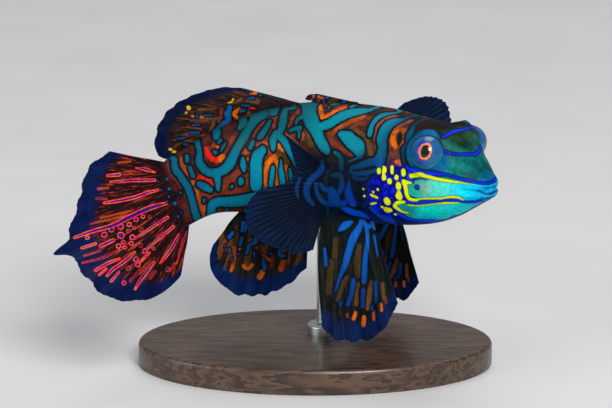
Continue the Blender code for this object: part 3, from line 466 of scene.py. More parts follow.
PELVIC_MARKS = Marks(
    blue=(
        ((362.4, 214, 5), (361.4, 222.6, 5), (359, 229, 7), (354, 237, 8.6), (349.4, 251, 7.8),
            (345, 265, 6), (340, 278, 4), (335, 291, 3)),
        ((364, 220.6, 4), (366.6, 228, 4), (368, 237, 4), (366.4, 255, 5.6), (365, 272, 6.4),
            (364.4, 282, 5)),
        ((362.4, 222.6, 4.6), (369.6, 226.6, 5)),
        ((369.6, 212, 5), (371.8, 219.6, 5), (376, 229.4, 5), (379.6, 235.6, 4.2), (384, 243.5, 2.6)),
        ((374.6, 236, 2.6), (376.6, 246, 2.6), (378.2, 256, 2.2)),
        ((339.7, 230, 4), (345.3, 225.6, 8), (351.7, 222.1, 4)),
        ((354.1, 280.8, 6), (352.2, 291, 5.4), (348, 304.6, 4.4)), ((363.3, 290, 4.4), (363.2, 306.4, 4.2)),
        ((375.8, 282.4, 3.4), (376.4, 293.7, 3.6), (375.6, 303, 2.8)), ((341.4, 302, 4), (340.6, 305, 4)),
        ((372.6, 307, 3.6), (372.4, 309, 3.6)), ((325, 249, 4), (326.4, 265, 4.4)),
    ),
    warm=(
        (Ember.OLIVE, (
            ((347, 277, 4), (343, 286, 5), (337.6, 300, 4.6)),
            ((360, 246, 5), (357.5, 262, 7), (357.6, 276, 5)), ((331, 262, 6), (329, 292, 6)),
            ((336, 240, 6), (335, 256, 6)),
        )),
        (Ember.BROWN, (
            ((372, 282, 4), (370.2, 294, 5.6), (367.6, 308, 5)), ((358, 284, 4), (356.6, 304, 4.6)),
            ((383, 284, 4), (384, 298, 3.4)),
        )),
        (Ember.RUST, (
            ((347.4, 314.2, 3), (347.4, 316.6, 3)), ((385.6, 297.4, 2.4), (386.2, 303, 2.4)),
            ((343.6, 281, 2.8), (342.4, 285, 2.8)),
        )),
        (Ember.BRIGHT, (
            ((355.6, 313, 3.6), (353.6, 318.6, 4)), ((364.4, 317.6, 4), (363.6, 324, 4.4)),
            ((381.6, 304.4, 2.6), (382, 310.6, 2.8)),
        )),
        (Ember.ORANGE, (((374, 312, 3), (374.2, 319, 3.2)), ((357.2, 290.6, 3), (356.8, 298, 3)))),
    ),
)

# Colours of the body by place: x and y in the photo, reach in mm, ground between bands, bands.
# On top of the back and the head the zones are darker, partly in the fish's own colour and partly as painted
# shade.
BODY_ZONES: Dict[str, Tuple[float, float, float, Colour, Colour]] = {
    "tail_root": (182, 192, 2.4, (0.060, 0.012, 0.007), (0.002, 0.085, 0.16)),
    # darker on top: partly own colour, partly painted shade
    "tail_top": (205, 152, 2.4, (0.050, 0.009, 0.008), (0.001, 0.10, 0.16)),
    "tail_low": (232, 186, 2.6, (0.075, 0.017, 0.007), (0.002, 0.15, 0.24)),
    # darker on top: partly own colour, partly painted shade
    "loin_top": (255, 122, 3.0, (0.042, 0.010, 0.007), (0.001, 0.080, 0.105)),
    "heart": (272, 170, 3.0, (0.075, 0.032, 0.007), (0.001, 0.22, 0.34)),
    # darker on top: partly own colour, partly painted shade
    "back_mid": (300, 110, 3.0, (0.038, 0.009, 0.007), (0.001, 0.085, 0.12)),
    "shoulder": (328, 128, 3.0, (0.030, 0.014, 0.012), (0.001, 0.19, 0.25)),
    "shoulder_front": (360, 125, 3.0, (0.035, 0.015, 0.013), (0.002, 0.19, 0.27)),
    "nape": (398, 140, 2.0, (0.09, 0.026, 0.010), (0.002, 0.07, 0.14)),
    "chest_bar": (340, 161, 1.2, (0.001, 0.005, 0.010), (0.001, 0.022, 0.045)),
    "chest_notch": (323, 163, 1.2, (0.001, 0.004, 0.010), (0.001, 0.018, 0.045)),
    "chest": (354, 176, 1.6, (0.001, 0.007, 0.018), (0.001, 0.030, 0.11)),
    "chest_wave": (366, 164, 1.2, (0.001, 0.007, 0.018), (0.001, 0.036, 0.12)),
    "chest_drop": (350, 196, 1.5, (0.001, 0.006, 0.020), (0.001, 0.030, 0.25)),
    "chest_lobe": (331, 196, 1.6, (0.001, 0.006, 0.018), (0.001, 0.036, 0.20)),
    "chest_whorl": (337, 178, 1.2, (0.002, 0.006, 0.012), (0.001, 0.026, 0.075)),
    "chest_rear": (316, 172, 1.6, (0.001, 0.006, 0.013), (0.001, 0.026, 0.060)),
    "chest_low": (356, 213, 1.3, (0.001, 0.006, 0.020), (0.001, 0.075, 0.60)),
    "bib": (388, 188, 2.2, (0.001, 0.006, 0.14), (0.002, 0.06, 0.30)),
    "bib_low": (380, 218, 1.8, (0.001, 0.010, 0.10), (0.001, 0.05, 0.42)),
    "belly": (290, 209, 3.0, (0.030, 0.016, 0.016), (0.002, 0.10, 0.20)),
    "eye_rear": (406, 150, 1.6, (0.003, 0.010, 0.020), (0.002, 0.06, 0.13)),
    "eye_low": (440, 172, 1.3, (0.002, 0.22, 0.19), (0.002, 0.06, 0.13)),
    # top of the head: partly own dark colour, partly painted shade
    "brow": (446, 123, 1.7, (0.005, 0.003, 0.004), (0.002, 0.02, 0.04)),
    "dome_side": (453, 139, 1.2, (0.016, 0.040, 0.007), (0.002, 0.06, 0.13)),
    "dome": (468, 143, 1.2, (0.002, 0.006, 0.004), (0.002, 0.06, 0.13)),
    "dome_front": (481, 146, 0.7, (0.016, 0.034, 0.005), (0.002, 0.06, 0.13)),
    # top of the head: partly own dark colour, partly painted shade
    "crown": (430, 119, 1.4, (0.016, 0.005, 0.005), (0.002, 0.03, 0.06)),
    # top of the head: partly own dark colour, partly painted shade
    "dome_top": (470, 123, 1.2, (0.002, 0.003, 0.004), (0.002, 0.05, 0.10)),
    "snout_side": (458, 165, 2.4, (0.001, 0.14, 0.13), (0.002, 0.06, 0.13)),
    "snout_front": (489, 168, 1.5, (0.001, 0.026, 0.030), (0.002, 0.06, 0.13)),
    "lips": (490, 188, 1.5, (0.002, 0.16, 0.40), (0.002, 0.06, 0.13)),
    "chin_end": (462, 214, 1.2, (0.001, 0.09, 0.20), (0.002, 0.06, 0.13)),
}
CHEEK_ZONES: Dict[str, Tuple[float, float, float, Colour]] = {
    "cheek_rear": (414, 190, 1.2, (0.010, 0.34, 0.25)),
    "cheek_warm": (425, 189, 0.8, (0.19, 0.33, 0.25)),
    # partly the fish's own pale turquoise and partly a painted highlight where the light falls on the cheek
    "cheek_pale": (441, 190, 1.6, (0.07, 0.62, 0.50)),
    "cheek_front": (463, 193, 1.6, (0.001, 0.56, 0.74)),
    "jaw_front": (482, 195, 1.2, (0.002, 0.30, 0.62)),
    "chin_rear": (410, 209, 0.9, (0.004, 0.22, 0.22)),
    "chin": (432, 211, 2.0, (0.001, 0.60, 0.55)),
    "chin_front": (455, 208, 1.4, (0.002, 0.62, 0.66)),
    "chin_low": (430, 220, 1.0, (0.002, 0.26, 0.45)),
}


def smooth(points: Sequence[Tuple[float, float]], x: Union[float, Array]) -> Array:
    """Monotone cubic through (place, value) pairs.

    Args:
        points: the pairs, in order of place.
        x: where it is read; ends are held.

    Returns:
        The values at x.
    """
    px, py = np.array(points, float).T
    step = np.diff(px)
    slope = np.diff(py) / step
    tangent = np.concatenate([slope[:1], np.zeros(len(slope) - 1), slope[-1:]])
    for i in range(1, len(slope)):
        if slope[i - 1] * slope[i] > 0:
            before = 2 * step[i] + step[i - 1]
            after = step[i] + 2 * step[i - 1]
            tangent[i] = (before + after) / (before / slope[i - 1] + after / slope[i])
    x = np.clip(np.asarray(x, float), px[0], px[-1])
    i = np.clip(np.searchsorted(px, x, side="right") - 1, 0, len(step) - 1)
    t = (x - px[i]) / step[i]
    return ((1 + 2 * t) * (1 - t) ** 2 * py[i] + t * (1 - t) ** 2 * step[i] * tangent[i]
            + t * t * (3 - 2 * t) * py[i + 1] + t * t * (t - 1) * step[i] * tangent[i + 1])


def at_station(points: Table, station: Union[float, Array]) -> Array:
    """A table in mm read at stations in metres, as it stands."""
    return smooth(points, np.asarray(station) / MM)


def unit(v: Array) -> Array:
    """Vectors scaled to length one."""
    return v / np.linalg.norm(v, axis=-1, keepdims=True)


def ease(x: Union[float, Array]) -> Array:
    """Rises from 0 to 1 with level ends, 3x^2 - 2x^3."""
    x = np.clip(x, 0, 1)
    return x * x * (3 - 2 * x)


def bump(distance: Array, half_width: float) -> Array:
    """A bell of height one."""
    return np.exp(-((distance / half_width) ** 2))


def level(value: float) -> Table:
    """A table that holds one value."""
    return ((0, value), (1, value))


def grid_faces(rows: int, columns: int, wrap: bool) -> Array:
    """Quads of a grid of points numbered row by row.

    Args:
        rows: how many rows.
        columns: how many points in each.
        wrap: whether the last column joins the first.

    Returns:
        One line of four point numbers for each quad.
    """
    index = np.arange(rows * columns).reshape(rows, columns)
    if wrap:
        index = np.hstack([index, index[:, :1]])
    corners = (index[:-1, :-1], index[:-1, 1:], index[1:, 1:], index[1:, :-1])
    return np.stack([corner.ravel() for corner in corners], 1)


def capped_faces(rows: int, columns: int) -> List[List[int]]:
    """Quads of a tube of rings, with a fan at each end to one of the two points numbered after them."""
    ring = np.arange(columns)
    after = np.roll(ring, -1)
    count = rows * columns
    last = count - columns
    first_fan = np.stack([np.full(columns, count), after, ring], 1)
    last_fan = np.stack([np.full(columns, count + 1), last + ring, last + after], 1)
    return grid_faces(rows, columns, True).tolist() + first_fan.tolist() + last_fan.tolist()


def normals(grid: Array) -> Array:
    """Unit normals of a grid of points."""
    return unit(np.cross(np.gradient(grid, axis=0), np.gradient(grid, axis=1)))


def signed_volume(points: Array, faces: Sequence[Sequence[int]]) -> float:
    """Six times the volume that the first three corners of each face enclose, negative if inside out."""
    corners = np.array([face[:3] for face in faces])
    a, b, c = (points[corners[:, k]] for k in range(3))
    return float(np.einsum("ij,ij->", a - points.mean(0), np.cross(b - a, c - a)))


def add_item(name: str, data: bpy.types.ID) -> bpy.types.Object:
    """Adds an object to the scene."""
    item = bpy.data.objects.new(name, data)
    bpy.context.scene.collection.objects.link(item)
    return item


class Piece:
    """One visible mesh of the model."""

    def __init__(self, name: str, points: Array, faces: List[Sequence[int]], sharp: float = 180.0) -> None:
        """Makes the mesh with its faces outwards.

        Args:
            name: the piece's name.
            points: one line for each vertex, in metres.
            faces: the closed shell's faces.
            sharp: edges bent by more than this many degrees are shaded sharp.
        """
        if signed_volume(points, faces) < 0:
            faces = [face[::-1] for face in faces]
        self.mesh = bpy.data.meshes.new(name)
        self.mesh.from_pydata(points.tolist(), [], faces)
        self.mesh.shade_smooth()
        if sharp < 180:
            self.mesh.set_sharp_from_angle(angle=math.radians(sharp))
        self.item = add_item(name, self.mesh)

    def write(self, name: str, values: Array) -> None:
        """Stores numbers, colours or vectors at the vertices.

        Args:
            name: the attribute's name.
            values: one number, or one line of three, for each vertex.
        """
        if values.ndim == 1:
            layer = self.mesh.attributes.new(name, "FLOAT", "POINT")
            layer.data.foreach_set("value", values.astype(np.float32))
            return
        layer = self.mesh.attributes.new(name, "FLOAT_COLOR", "POINT")
        full = np.hstack([values, np.ones((len(values), 1))])
        layer.data.foreach_set("color", full.astype(np.float32).ravel())

    def dress(self, material: bpy.types.Material, slot: str, *nodes: str) -> bpy.types.Object:
        """Gives the piece its finish and its place in the model.

        Args:
            material: its finish.
            slot: not used.
            nodes: the solids that it stands for.

        Returns:
            The object.
        """
        self.mesh.materials.append(material)
        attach(self.item, "root")
        if nodes:
            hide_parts(*nodes)
        LOG.info("%s: %d vertices", self.item.name, len(self.mesh.vertices))
        return self.item


@dataclass
class BodyForm:
    """The body round its curved spine, with the same sizes as the solids."""

    body_length: float = 47.6 * MM
    spine_end: float = 72 * MM
    spine_step: float = 0.1 * MM
    middle: float = 28.7 * MM
    roundness: float = 2 / 2.2
    yaw: Table = ((0, 44), (8, 43), (15, 36), (22, 18), (29, 0), (35, -22), (42, -45), (48.5, -54),
        (55, -40), (70, -16))
    pitch: Table = ((0, 0), (12, 0), (28, 0), (36, 3), (43, 10), (48.5, 15), (55, 17), (70, 16))
    roll: Table = ((0, 0), (32, 0), (40, -5), (48.5, -14), (70, -10))
    half_width: Table = ((0, 0), (0.35, 1.25), (1, 2.1), (2.2, 3), (4, 3.9), (6, 4.7), (9, 5.5), (13, 6.2),
        (18, 6.5), (25, 6.2), (32, 5.2), (37.5, 3.9), (43, 2.5), (47.6, 1.2))
    back: Table = ((0, 0), (0.35, 0.95), (1, 1.8), (2.2, 3.2), (4, 4.8), (6, 6), (9, 6.7), (13, 7),
        (18, 7.5), (25, 7.7), (32, 7), (37.5, 5.8), (43, 4.7), (47.6, 4.3))
    belly: Table = ((0, 0), (0.35, 0.95), (1, 1.5), (2.2, 2.3), (4, 3.6), (6, 5), (9, 6.2), (13, 7),
        (18, 7.4), (25, 7.4), (32, 6.9), (37.5, 6), (43, 5), (47.6, 4.6))
    mouth_drop: Table = ((0, 0.55), (2, 0.45), (6, 0))
    cleft_length: float = 2.4 * MM
    cleft_depth: float = 0.45 * MM
    cleft_half_width: float = 0.2 * MM
    lip_height: float = 0.3 * MM
    lip_offset: float = 0.7 * MM
    lip_half_width: float = 0.4 * MM
    eye_station: float = 7.3 * MM
    eye_side: float = 3.85 * MM
    eye_height: float = 3.8 * MM
    gaze: Tuple[float, float, float] = (1.0, 0.6, 0.35)  # out to the side, forward, up
    eye_radius: float = 2.35 * MM
    dome_radius: float = 2.95 * MM
    dome_inset: float = 0.45 * MM
    dome_blend: float = 1.1 * MM
    gill_station: float = 13 * MM
    gill_step: float = 0.35 * MM
    gill_length: float = 2.2 * MM
    gill_spread: float = 38.0
    rod_station: float = 25.5 * MM
    trace_steps: int = 40

    def __post_init__(self) -> None:
        """Traces the spine, and sets it where the rod's solid meets the belly."""
        self.trace_spine(np.zeros(3))
        low, high = (np.array(corner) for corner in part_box("stand_rod"))
        foot = np.array([(low[0] + high[0]) / 2, (low[1] + high[1]) / 2, high[2] + GAP])
        self.trace_spine(foot - self.skin(self.rod_station, -math.pi / 2))

    def trace_spine(self, origin: Array) -> None:
        """The spine's line is the sum of its forward steps, which yaw and pitch turn.

        Args:
            origin: where the line's middle station goes.
        """
        self.station = np.arange(0, self.spine_end + self.spine_step, self.spine_step)
        turns = (self.yaw, self.pitch, self.roll)
        yaw, pitch, roll = (np.radians(at_station(table, self.station)) for table in turns)
        forward = np.stack([np.cos(yaw) * np.cos(pitch), -np.sin(yaw) * np.cos(pitch), np.sin(pitch)], 1)
        steps = -(forward[1:] + forward[:-1]) / 2 * self.spine_step
        line = np.vstack([np.zeros(3), np.cumsum(steps, 0)])
        line += origin - line[np.searchsorted(self.station, self.middle)]
        level_up = unit(np.array([0, 0, 1.0]) - forward[:, 2:] * forward)
        level_left = np.cross(level_up, forward)
        turn, lean = np.cos(roll)[:, None], np.sin(roll)[:, None]
        up, left = level_up * turn - level_left * lean, level_left * turn + level_up * lean
        self.frames = (line, forward, up, left)

    def spine_at(self, station: Union[float, Array]) -> Tuple[Array, ...]:
        """Centre, forward, up and left at each station."""
        return tuple(
            np.stack([np.interp(station, self.station, table[:, k]) for k in range(3)], -1)
            for table in self.frames
        )

    def oval(self, station: Array, angle: Array) -> Tuple[Array, Array]:
        """Reach of the plain section, a superellipse.

        Args:
            station: along the spine.
            angle: round the body, with 90 degrees the back.

        Returns:
            The reaches to the left and up.
        """
        cosine, sine = np.cos(angle), np.sin(angle)
        height = np.where(sine > 0, at_station(self.back, station), at_station(self.belly, station)) * MM
        side = at_station(self.half_width, station) * MM * np.sign(cosine) * np.abs(cosine) ** self.roundness
        return side, height * np.sign(sine) * np.abs(sine) ** self.roundness

    def relief(self, station: Array, angle: Array, side: Array, rise: Array) -> Array:
        """Height of the lips, the mouth's cleft and the gill cover over the plain oval."""
        reach = np.hypot(side, rise)
        from_cleft = np.abs(np.sin(angle)) * reach + np.where(np.abs(np.cos(angle)) < 0.5, 1.0, 0.0)
        along = np.clip(station / self.cleft_length, 0, None)
        mouth = np.exp(-along ** 6) * np.clip(station / (0.3 * MM), 0, 1)
        height = -self.cleft_depth * bump(from_cleft, self.cleft_half_width) * mouth
        height = height + self.lip_height * bump(from_cleft - self.lip_offset, self.lip_half_width) * mouth
        off_side = np.degrees(np.arccos(np.clip(np.abs(np.cos(angle)), 0, 1)))
        rear = np.clip((station - self.gill_station + self.gill_length) / self.gill_length, 0, 1)
        cheek = bump(off_side, self.gill_spread) * rear
        return height + self.gill_step * cheek * (station <= self.gill_station)

    def with_domes(self, station: Array, across: Array, over: Array, plain: Array) -> Array:
        """How far out the skin lies once the eyes' domes are melted into the head.

        Each ray steps inwards by the smooth minimum of its distances to the body and to a sphere.
        """
        to_side, forward, upward = self.dome_inset * unit(np.array(self.gaze))
        ahead = station - self.eye_station - forward
        reach = plain + 2 * self.dome_radius
        for _ in range(self.trace_steps):
            to_body = reach - plain
            aside = np.abs(reach * across) - self.eye_side + to_side
            above = reach * over - self.eye_height + upward
            to_dome = np.sqrt(ahead ** 2 + aside ** 2 + above ** 2) - self.dome_radius
            near = np.clip(1 - np.abs(to_body - to_dome) / self.dome_blend, 0, 1)
            reach = reach - (np.minimum(to_body, to_dome) - near ** 2 * self.dome_blend / 4)
        return reach

    def section(self, station: Array, angle: Array, extra: Union[float, Array] = 0.0) -> Tuple[Array, Array]:
        """Reach to the left and up with lips, gill cover and domes.

        Args:
            station: along the spine.
            angle: round the body.
            extra: height added to the plain oval.

        Returns:
            The two reaches.
        """
        side, rise = self.oval(station, angle)
        plain = np.maximum(np.hypot(side, rise), 1e-9)
        across, over = side / plain, rise / plain
        height = self.relief(station, angle, side, rise) + extra
        reach = self.with_domes(station, across, over, plain + height)
        return reach * across, reach * over

    def placed(self, station: Array, side: Array, rise: Array) -> Array:
        """Points at those reaches to the left and up of the spine."""
        centre, _, up, left = self.spine_at(station)
        drop = at_station(self.mouth_drop, station) * MM
        return centre + left * side[..., None] + up * (rise - drop)[..., None]

    def skin(self, station: Union[float, Array], angle: Union[float, Array]) -> Array:
        """Points of the solids' surface."""
        station, angle = np.broadcast_arrays(np.asarray(station, float), np.asarray(angle, float))
        return self.placed(station, *self.section(station, angle))

    def height_over(self, points: Array) -> Tuple[Array, Array]:
        """How far points lie outside the plain oval.

        Args:
            points: places near the body.

        Returns:
            The way out from the spine at each, and its height there.
        """
        line = self.frames[0]
        flat = points.reshape(-1, 3)
        inside = self.station <= self.body_length
        coarse = line[inside][::4]
        nearest = np.argmin(((flat[:, None] - coarse[None]) ** 2).sum(2), 1)
        station = self.station[inside][::4][nearest]
        for _ in range(3):
            centre, forward, up, left = self.spine_at(station)
            station = np.clip(station - ((flat - centre) * forward).sum(1), GAP, self.body_length)
        centre, forward, up, left = self.spine_at(station)
        away = flat - centre
        away = away - forward * (away * forward).sum(1)[:, None]
        across, over = (away * left).sum(1), (away * up).sum(1)
        width = at_station(self.half_width, station)
        height = np.where(over > 0, at_station(self.back, station), at_station(self.belly, station))
        power = 1 / self.roundness
        cosine = np.sign(across) * np.abs(across / width) ** power
        sine = np.sign(over) * np.abs(over / height) ** power
        side, rise = self.oval(station, np.arctan2(sine, cosine))
        reach = np.hypot(across, over)
        out = away / np.maximum(reach, 1e-9)[:, None]
        return out.reshape(points.shape), (reach - np.hypot(side, rise)).reshape(points.shape[:-1])

    def kept_clear(self, points: Array, least: Union[float, Array]) -> Array:
        """Points moved straight out until they stand at least this far off the body."""
        for _ in range(2):
            out, height = self.height_over(points)
            points = points + out * np.clip(least - height, 0, None)[..., None]
        return points

    def settled(self, points: Array, height: float) -> Array:
        """Points moved to stand exactly this far off the body."""
        for _ in range(2):
            out, now = self.height_over(points)
            points = points + out * (height - now)[..., None]
        return points

    def eye_frame(self, turn: int) -> Tuple[Array, Array]:
        """Centre and axis of an eye; turn is 1 on the left and -1 on the right."""
        centre, forward, up, left = self.spine_at(self.eye_station)
        middle = centre + left * turn * self.eye_side + up * self.eye_height
        to_side, ahead, upward = unit(np.array(self.gaze))
        return middle, left * turn * to_side + forward * ahead + up * upward


@dataclass(frozen=True)
class PhotoCamera:
    """The photo's view: its aim, height and scale."""

    aim_from_origin: Tuple[float, float, float] = (0.8 * MM, 0.0, -5.8 * MM)
    elevation: float = 14.0
    distance: float = 330 * MM
    pixels_per_mm: float = 7.7
    width: int = 612
    height: int = 408
    sensor: float = 36.0

    def aim(self, form: BodyForm) -> Array:
        """The point that lands in the frame's middle."""
        return form.spine_at(form.middle)[0] + np.array(self.aim_from_origin)

    def axes(self) -> Tuple[Array, Array, Array]:
        """Right, up and back of the camera."""
        lift = math.radians(self.elevation)
        up = np.array([0, math.sin(lift), math.cos(lift)])
        return np.array([1.0, 0, 0]), up, np.array([0, -math.cos(lift), math.sin(lift)])

    def rays(self, form: BodyForm, pixels: Array) -> Tuple[Array, Array]:
        """Where the camera stands, and the way from it to each pixel.

        Args:
            form: the body, which carries the aim.
            pixels: x and y in the photo's frame, one line each.

        Returns:
            The camera's place, and one direction for each pixel.
        """
        right, up, back = self.axes()
        scale = MM / self.pixels_per_mm
        aside = (pixels[:, 0] - self.width / 2) * scale
        above = (self.height / 2 - pixels[:, 1]) * scale
        ways = right * aside[:, None] + up * above[:, None] - back * self.distance
        return self.aim(form) + back * self.distance, unit(ways)

    def build(self, form: BodyForm) -> None:
        """Makes the camera."""
        data = bpy.data.cameras.new("camera")
        data.sensor_width = self.sensor
        data.lens = self.sensor * self.distance / (self.width / self.pixels_per_mm * MM)
        data.clip_start = self.distance / 50
        data.clip_end = self.distance * 100
        item = add_item("camera", data)
        item.location = self.aim(form) + self.axes()[2] * self.distance
        item.rotation_euler = (math.radians(90 - self.elevation), 0, 0)
        bpy.context.scene.camera = item


@dataclass
class Stroke:
    """A string of beads on an unbent surface: x, y, z and radius in mm."""

    beads: Array
    mirrored: bool = False  # laid alike on both sides of the body, with y positive


class Canvas:
    """A surface that strokes are laid on: a grid in its place, and the same grid unbent, in mm."""

    samples_per_mm = 18.0
    widest = 2.0  # most that a slanting surface widens a stroke
    crossing_share = 0.3  # a stroke with more of it past the midline is laid as seen, not mirrored

    def __init__(self, form: BodyForm, camera: PhotoCamera, placed: Array, flat: Array, wrap: bool) -> None:
        """Readies the surface for rays.

        Args:
            form: the body, which carries the camera's aim.
            camera: the photo's view.
            placed: rows by columns of points in the model.
            flat: the same grid unbent, in mm, with y to the left.
            wrap: whether the last column joins the first, as on the body.
        """
        self.form, self.camera, self.wrap = form, camera, wrap
        self.faces = grid_faces(placed.shape[0], placed.shape[1], wrap)
        self.placed, self.flat = placed.reshape(-1, 3), flat.reshape(-1, 3)
        self.tree = BVHTree.FromPolygons(self.placed.tolist(), self.faces.tolist())

    def hit(self, pixels: Array) -> Tuple[Array, Array]:
        """Unbent places of the pixels.

        The hit's share along two sides of its quad, by least squares, gives the same share of the
        unbent quad.

        Args:
            pixels: x and y, one line each.

        Returns:
            One place for each pixel, and whether the ray met the surface.
        """
        eye, ways = self.camera.rays(self.form, pixels)
        found = [self.tree.ray_cast(eye.tolist(), way.tolist()) for way in ways]
        met = np.array([hit[0] is not None for hit in found])
        spot = np.array([hit[0] if hit[0] is not None else (0, 0, 0) for hit in found], float)
        quad = self.faces[[hit[2] or 0 for hit in found]]
        a, b, _, d = (self.placed[quad[:, k]] for k in range(4))
        one, two, off = b - a, d - a, spot - a
        oo, ot, tt = (one * one).sum(1), (one * two).sum(1), (two * two).sum(1)
        po, pt = (off * one).sum(1), (off * two).sum(1)
        size = np.maximum(oo * tt - ot * ot, 1e-30)
        u = np.clip((po * tt - pt * ot) / size, 0, 1)[:, None]
        v = np.clip((pt * oo - po * ot) / size, 0, 1)[:, None]
        a, b, c, d = (self.flat[quad[:, k]] for k in range(4))
        return (1 - u) * (1 - v) * a + u * (1 - v) * b + u * v * c + (1 - u) * v * d, met

    def stroke(self, path: Path) -> Stroke:
        """Casts a stroke on the surface.

        Args:
            path: its x, y and width in pixels; a path of one point is a dot.

        Returns:
            The stroke, as wide there as it looks in the photo.
        """
        x, y, width = np.array(path if len(path) > 1 else path + ((path[0][0] + 0.4, *path[0][1:]),), float).T
        run = np.concatenate([[0], np.cumsum(np.hypot(np.diff(x), np.diff(y)))])
        count = max(2, int(run[-1] / self.camera.pixels_per_mm * self.samples_per_mm))
        at = np.linspace(0, run[-1], count)
        x, y, width = (smooth(tuple(zip(run, values)), at) for values in (x, y, width))
        slope = unit(np.stack([np.gradient(x), np.gradient(y)], 1))
        aside = np.stack([-slope[:, 1], slope[:, 0]], 1) * width[:, None] / 2
        middle = np.stack([x, y], 1)
        centre, met = self.hit(middle)
        one, met_one = self.hit(middle + aside)
        two, met_two = self.hit(middle - aside)
        plain = width / self.camera.pixels_per_mm / 2
        spread = np.linalg.norm(one - two, axis=1) / 2
        radius = np.where(met_one & met_two, np.clip(spread, plain, plain * self.widest), plain)
        beads = np.hstack([centre, radius[:, None]])[met]
        over = beads[:, 1] > 0
        if not self.wrap or over.sum() > self.crossing_share * len(over):
            return Stroke(beads)
        return Stroke(beads[~over] * (1, -1, 1, 1), True)

    def strokes(self, paths: Sequence[Path]) -> List[Stroke]:
        """Each path as a stroke."""
        return [self.stroke(path) for path in paths]

    def spots(self, pixels: Sequence[Tuple[float, float]]) -> Array:
        """Unbent places of single pixels, which all have to meet the surface."""
        return self.hit(np.array(pixels, float))[0]


def folded(points: Array) -> Array:
    """Unbent places with the right half folded over the left."""
    return np.stack([points[:, 0], np.abs(points[:, 1]), points[:, 2]], 1)


def distance_to(strokes: Sequence[Stroke], points: Array, margin: float = 1.5) -> Tuple[Array, Array]:
    """Signed distance from points to the nearest stroke's edge: the least of |p - bead| - radius.

    Args:
        strokes: strings of beads.
        points: places on the unbent surface, in mm.
        margin: how far out it is worked out.

    Returns:
        The distance, negative inside, and the number of the nearest stroke.
    """
    best = np.full(len(points), FAR)
    which = np.zeros(len(points), int)
    both = folded(points)
    for number, stroke in enumerate(strokes):
        beads = stroke.beads
        if not len(beads):
            continue
        places = both if stroke.mirrored else points
        reach = beads[:, 3].max() + margin
        low, high = beads[:, :3].min(0) - reach, beads[:, :3].max(0) + reach
        near = np.nonzero(((places >= low) & (places <= high)).all(1))[0]
        for start in range(0, len(beads), 24):
            part = beads[start:start + 24]
            away = np.linalg.norm(places[near][:, None] - part[None, :, :3], axis=2) - part[None, :, 3]
            closest = away.min(1)
            better = closest < best[near]
            best[near[better]] = closest[better]
            which[near[better]] = number
    return best, which


def blended(points: Array, places: Array, reaches: Array, colours: Array) -> Array:
    """Colours at points: the mean of the places' colours, weighted by a bell of each place's reach.

    Args:
        points: where they are wanted.
        places: where each colour is at home.
        reaches: the bells' half widths.
        colours: one for each place.

    Returns:
        One colour for each point.
    """
    apart = np.linalg.norm(points[:, None] - places[None], axis=2) / reaches[None]
    weight = np.exp(-(apart ** 2)) + 1e-5 / (1 + apart ** 4)
    return weight @ colours / weight.sum(1, keepdims=True)


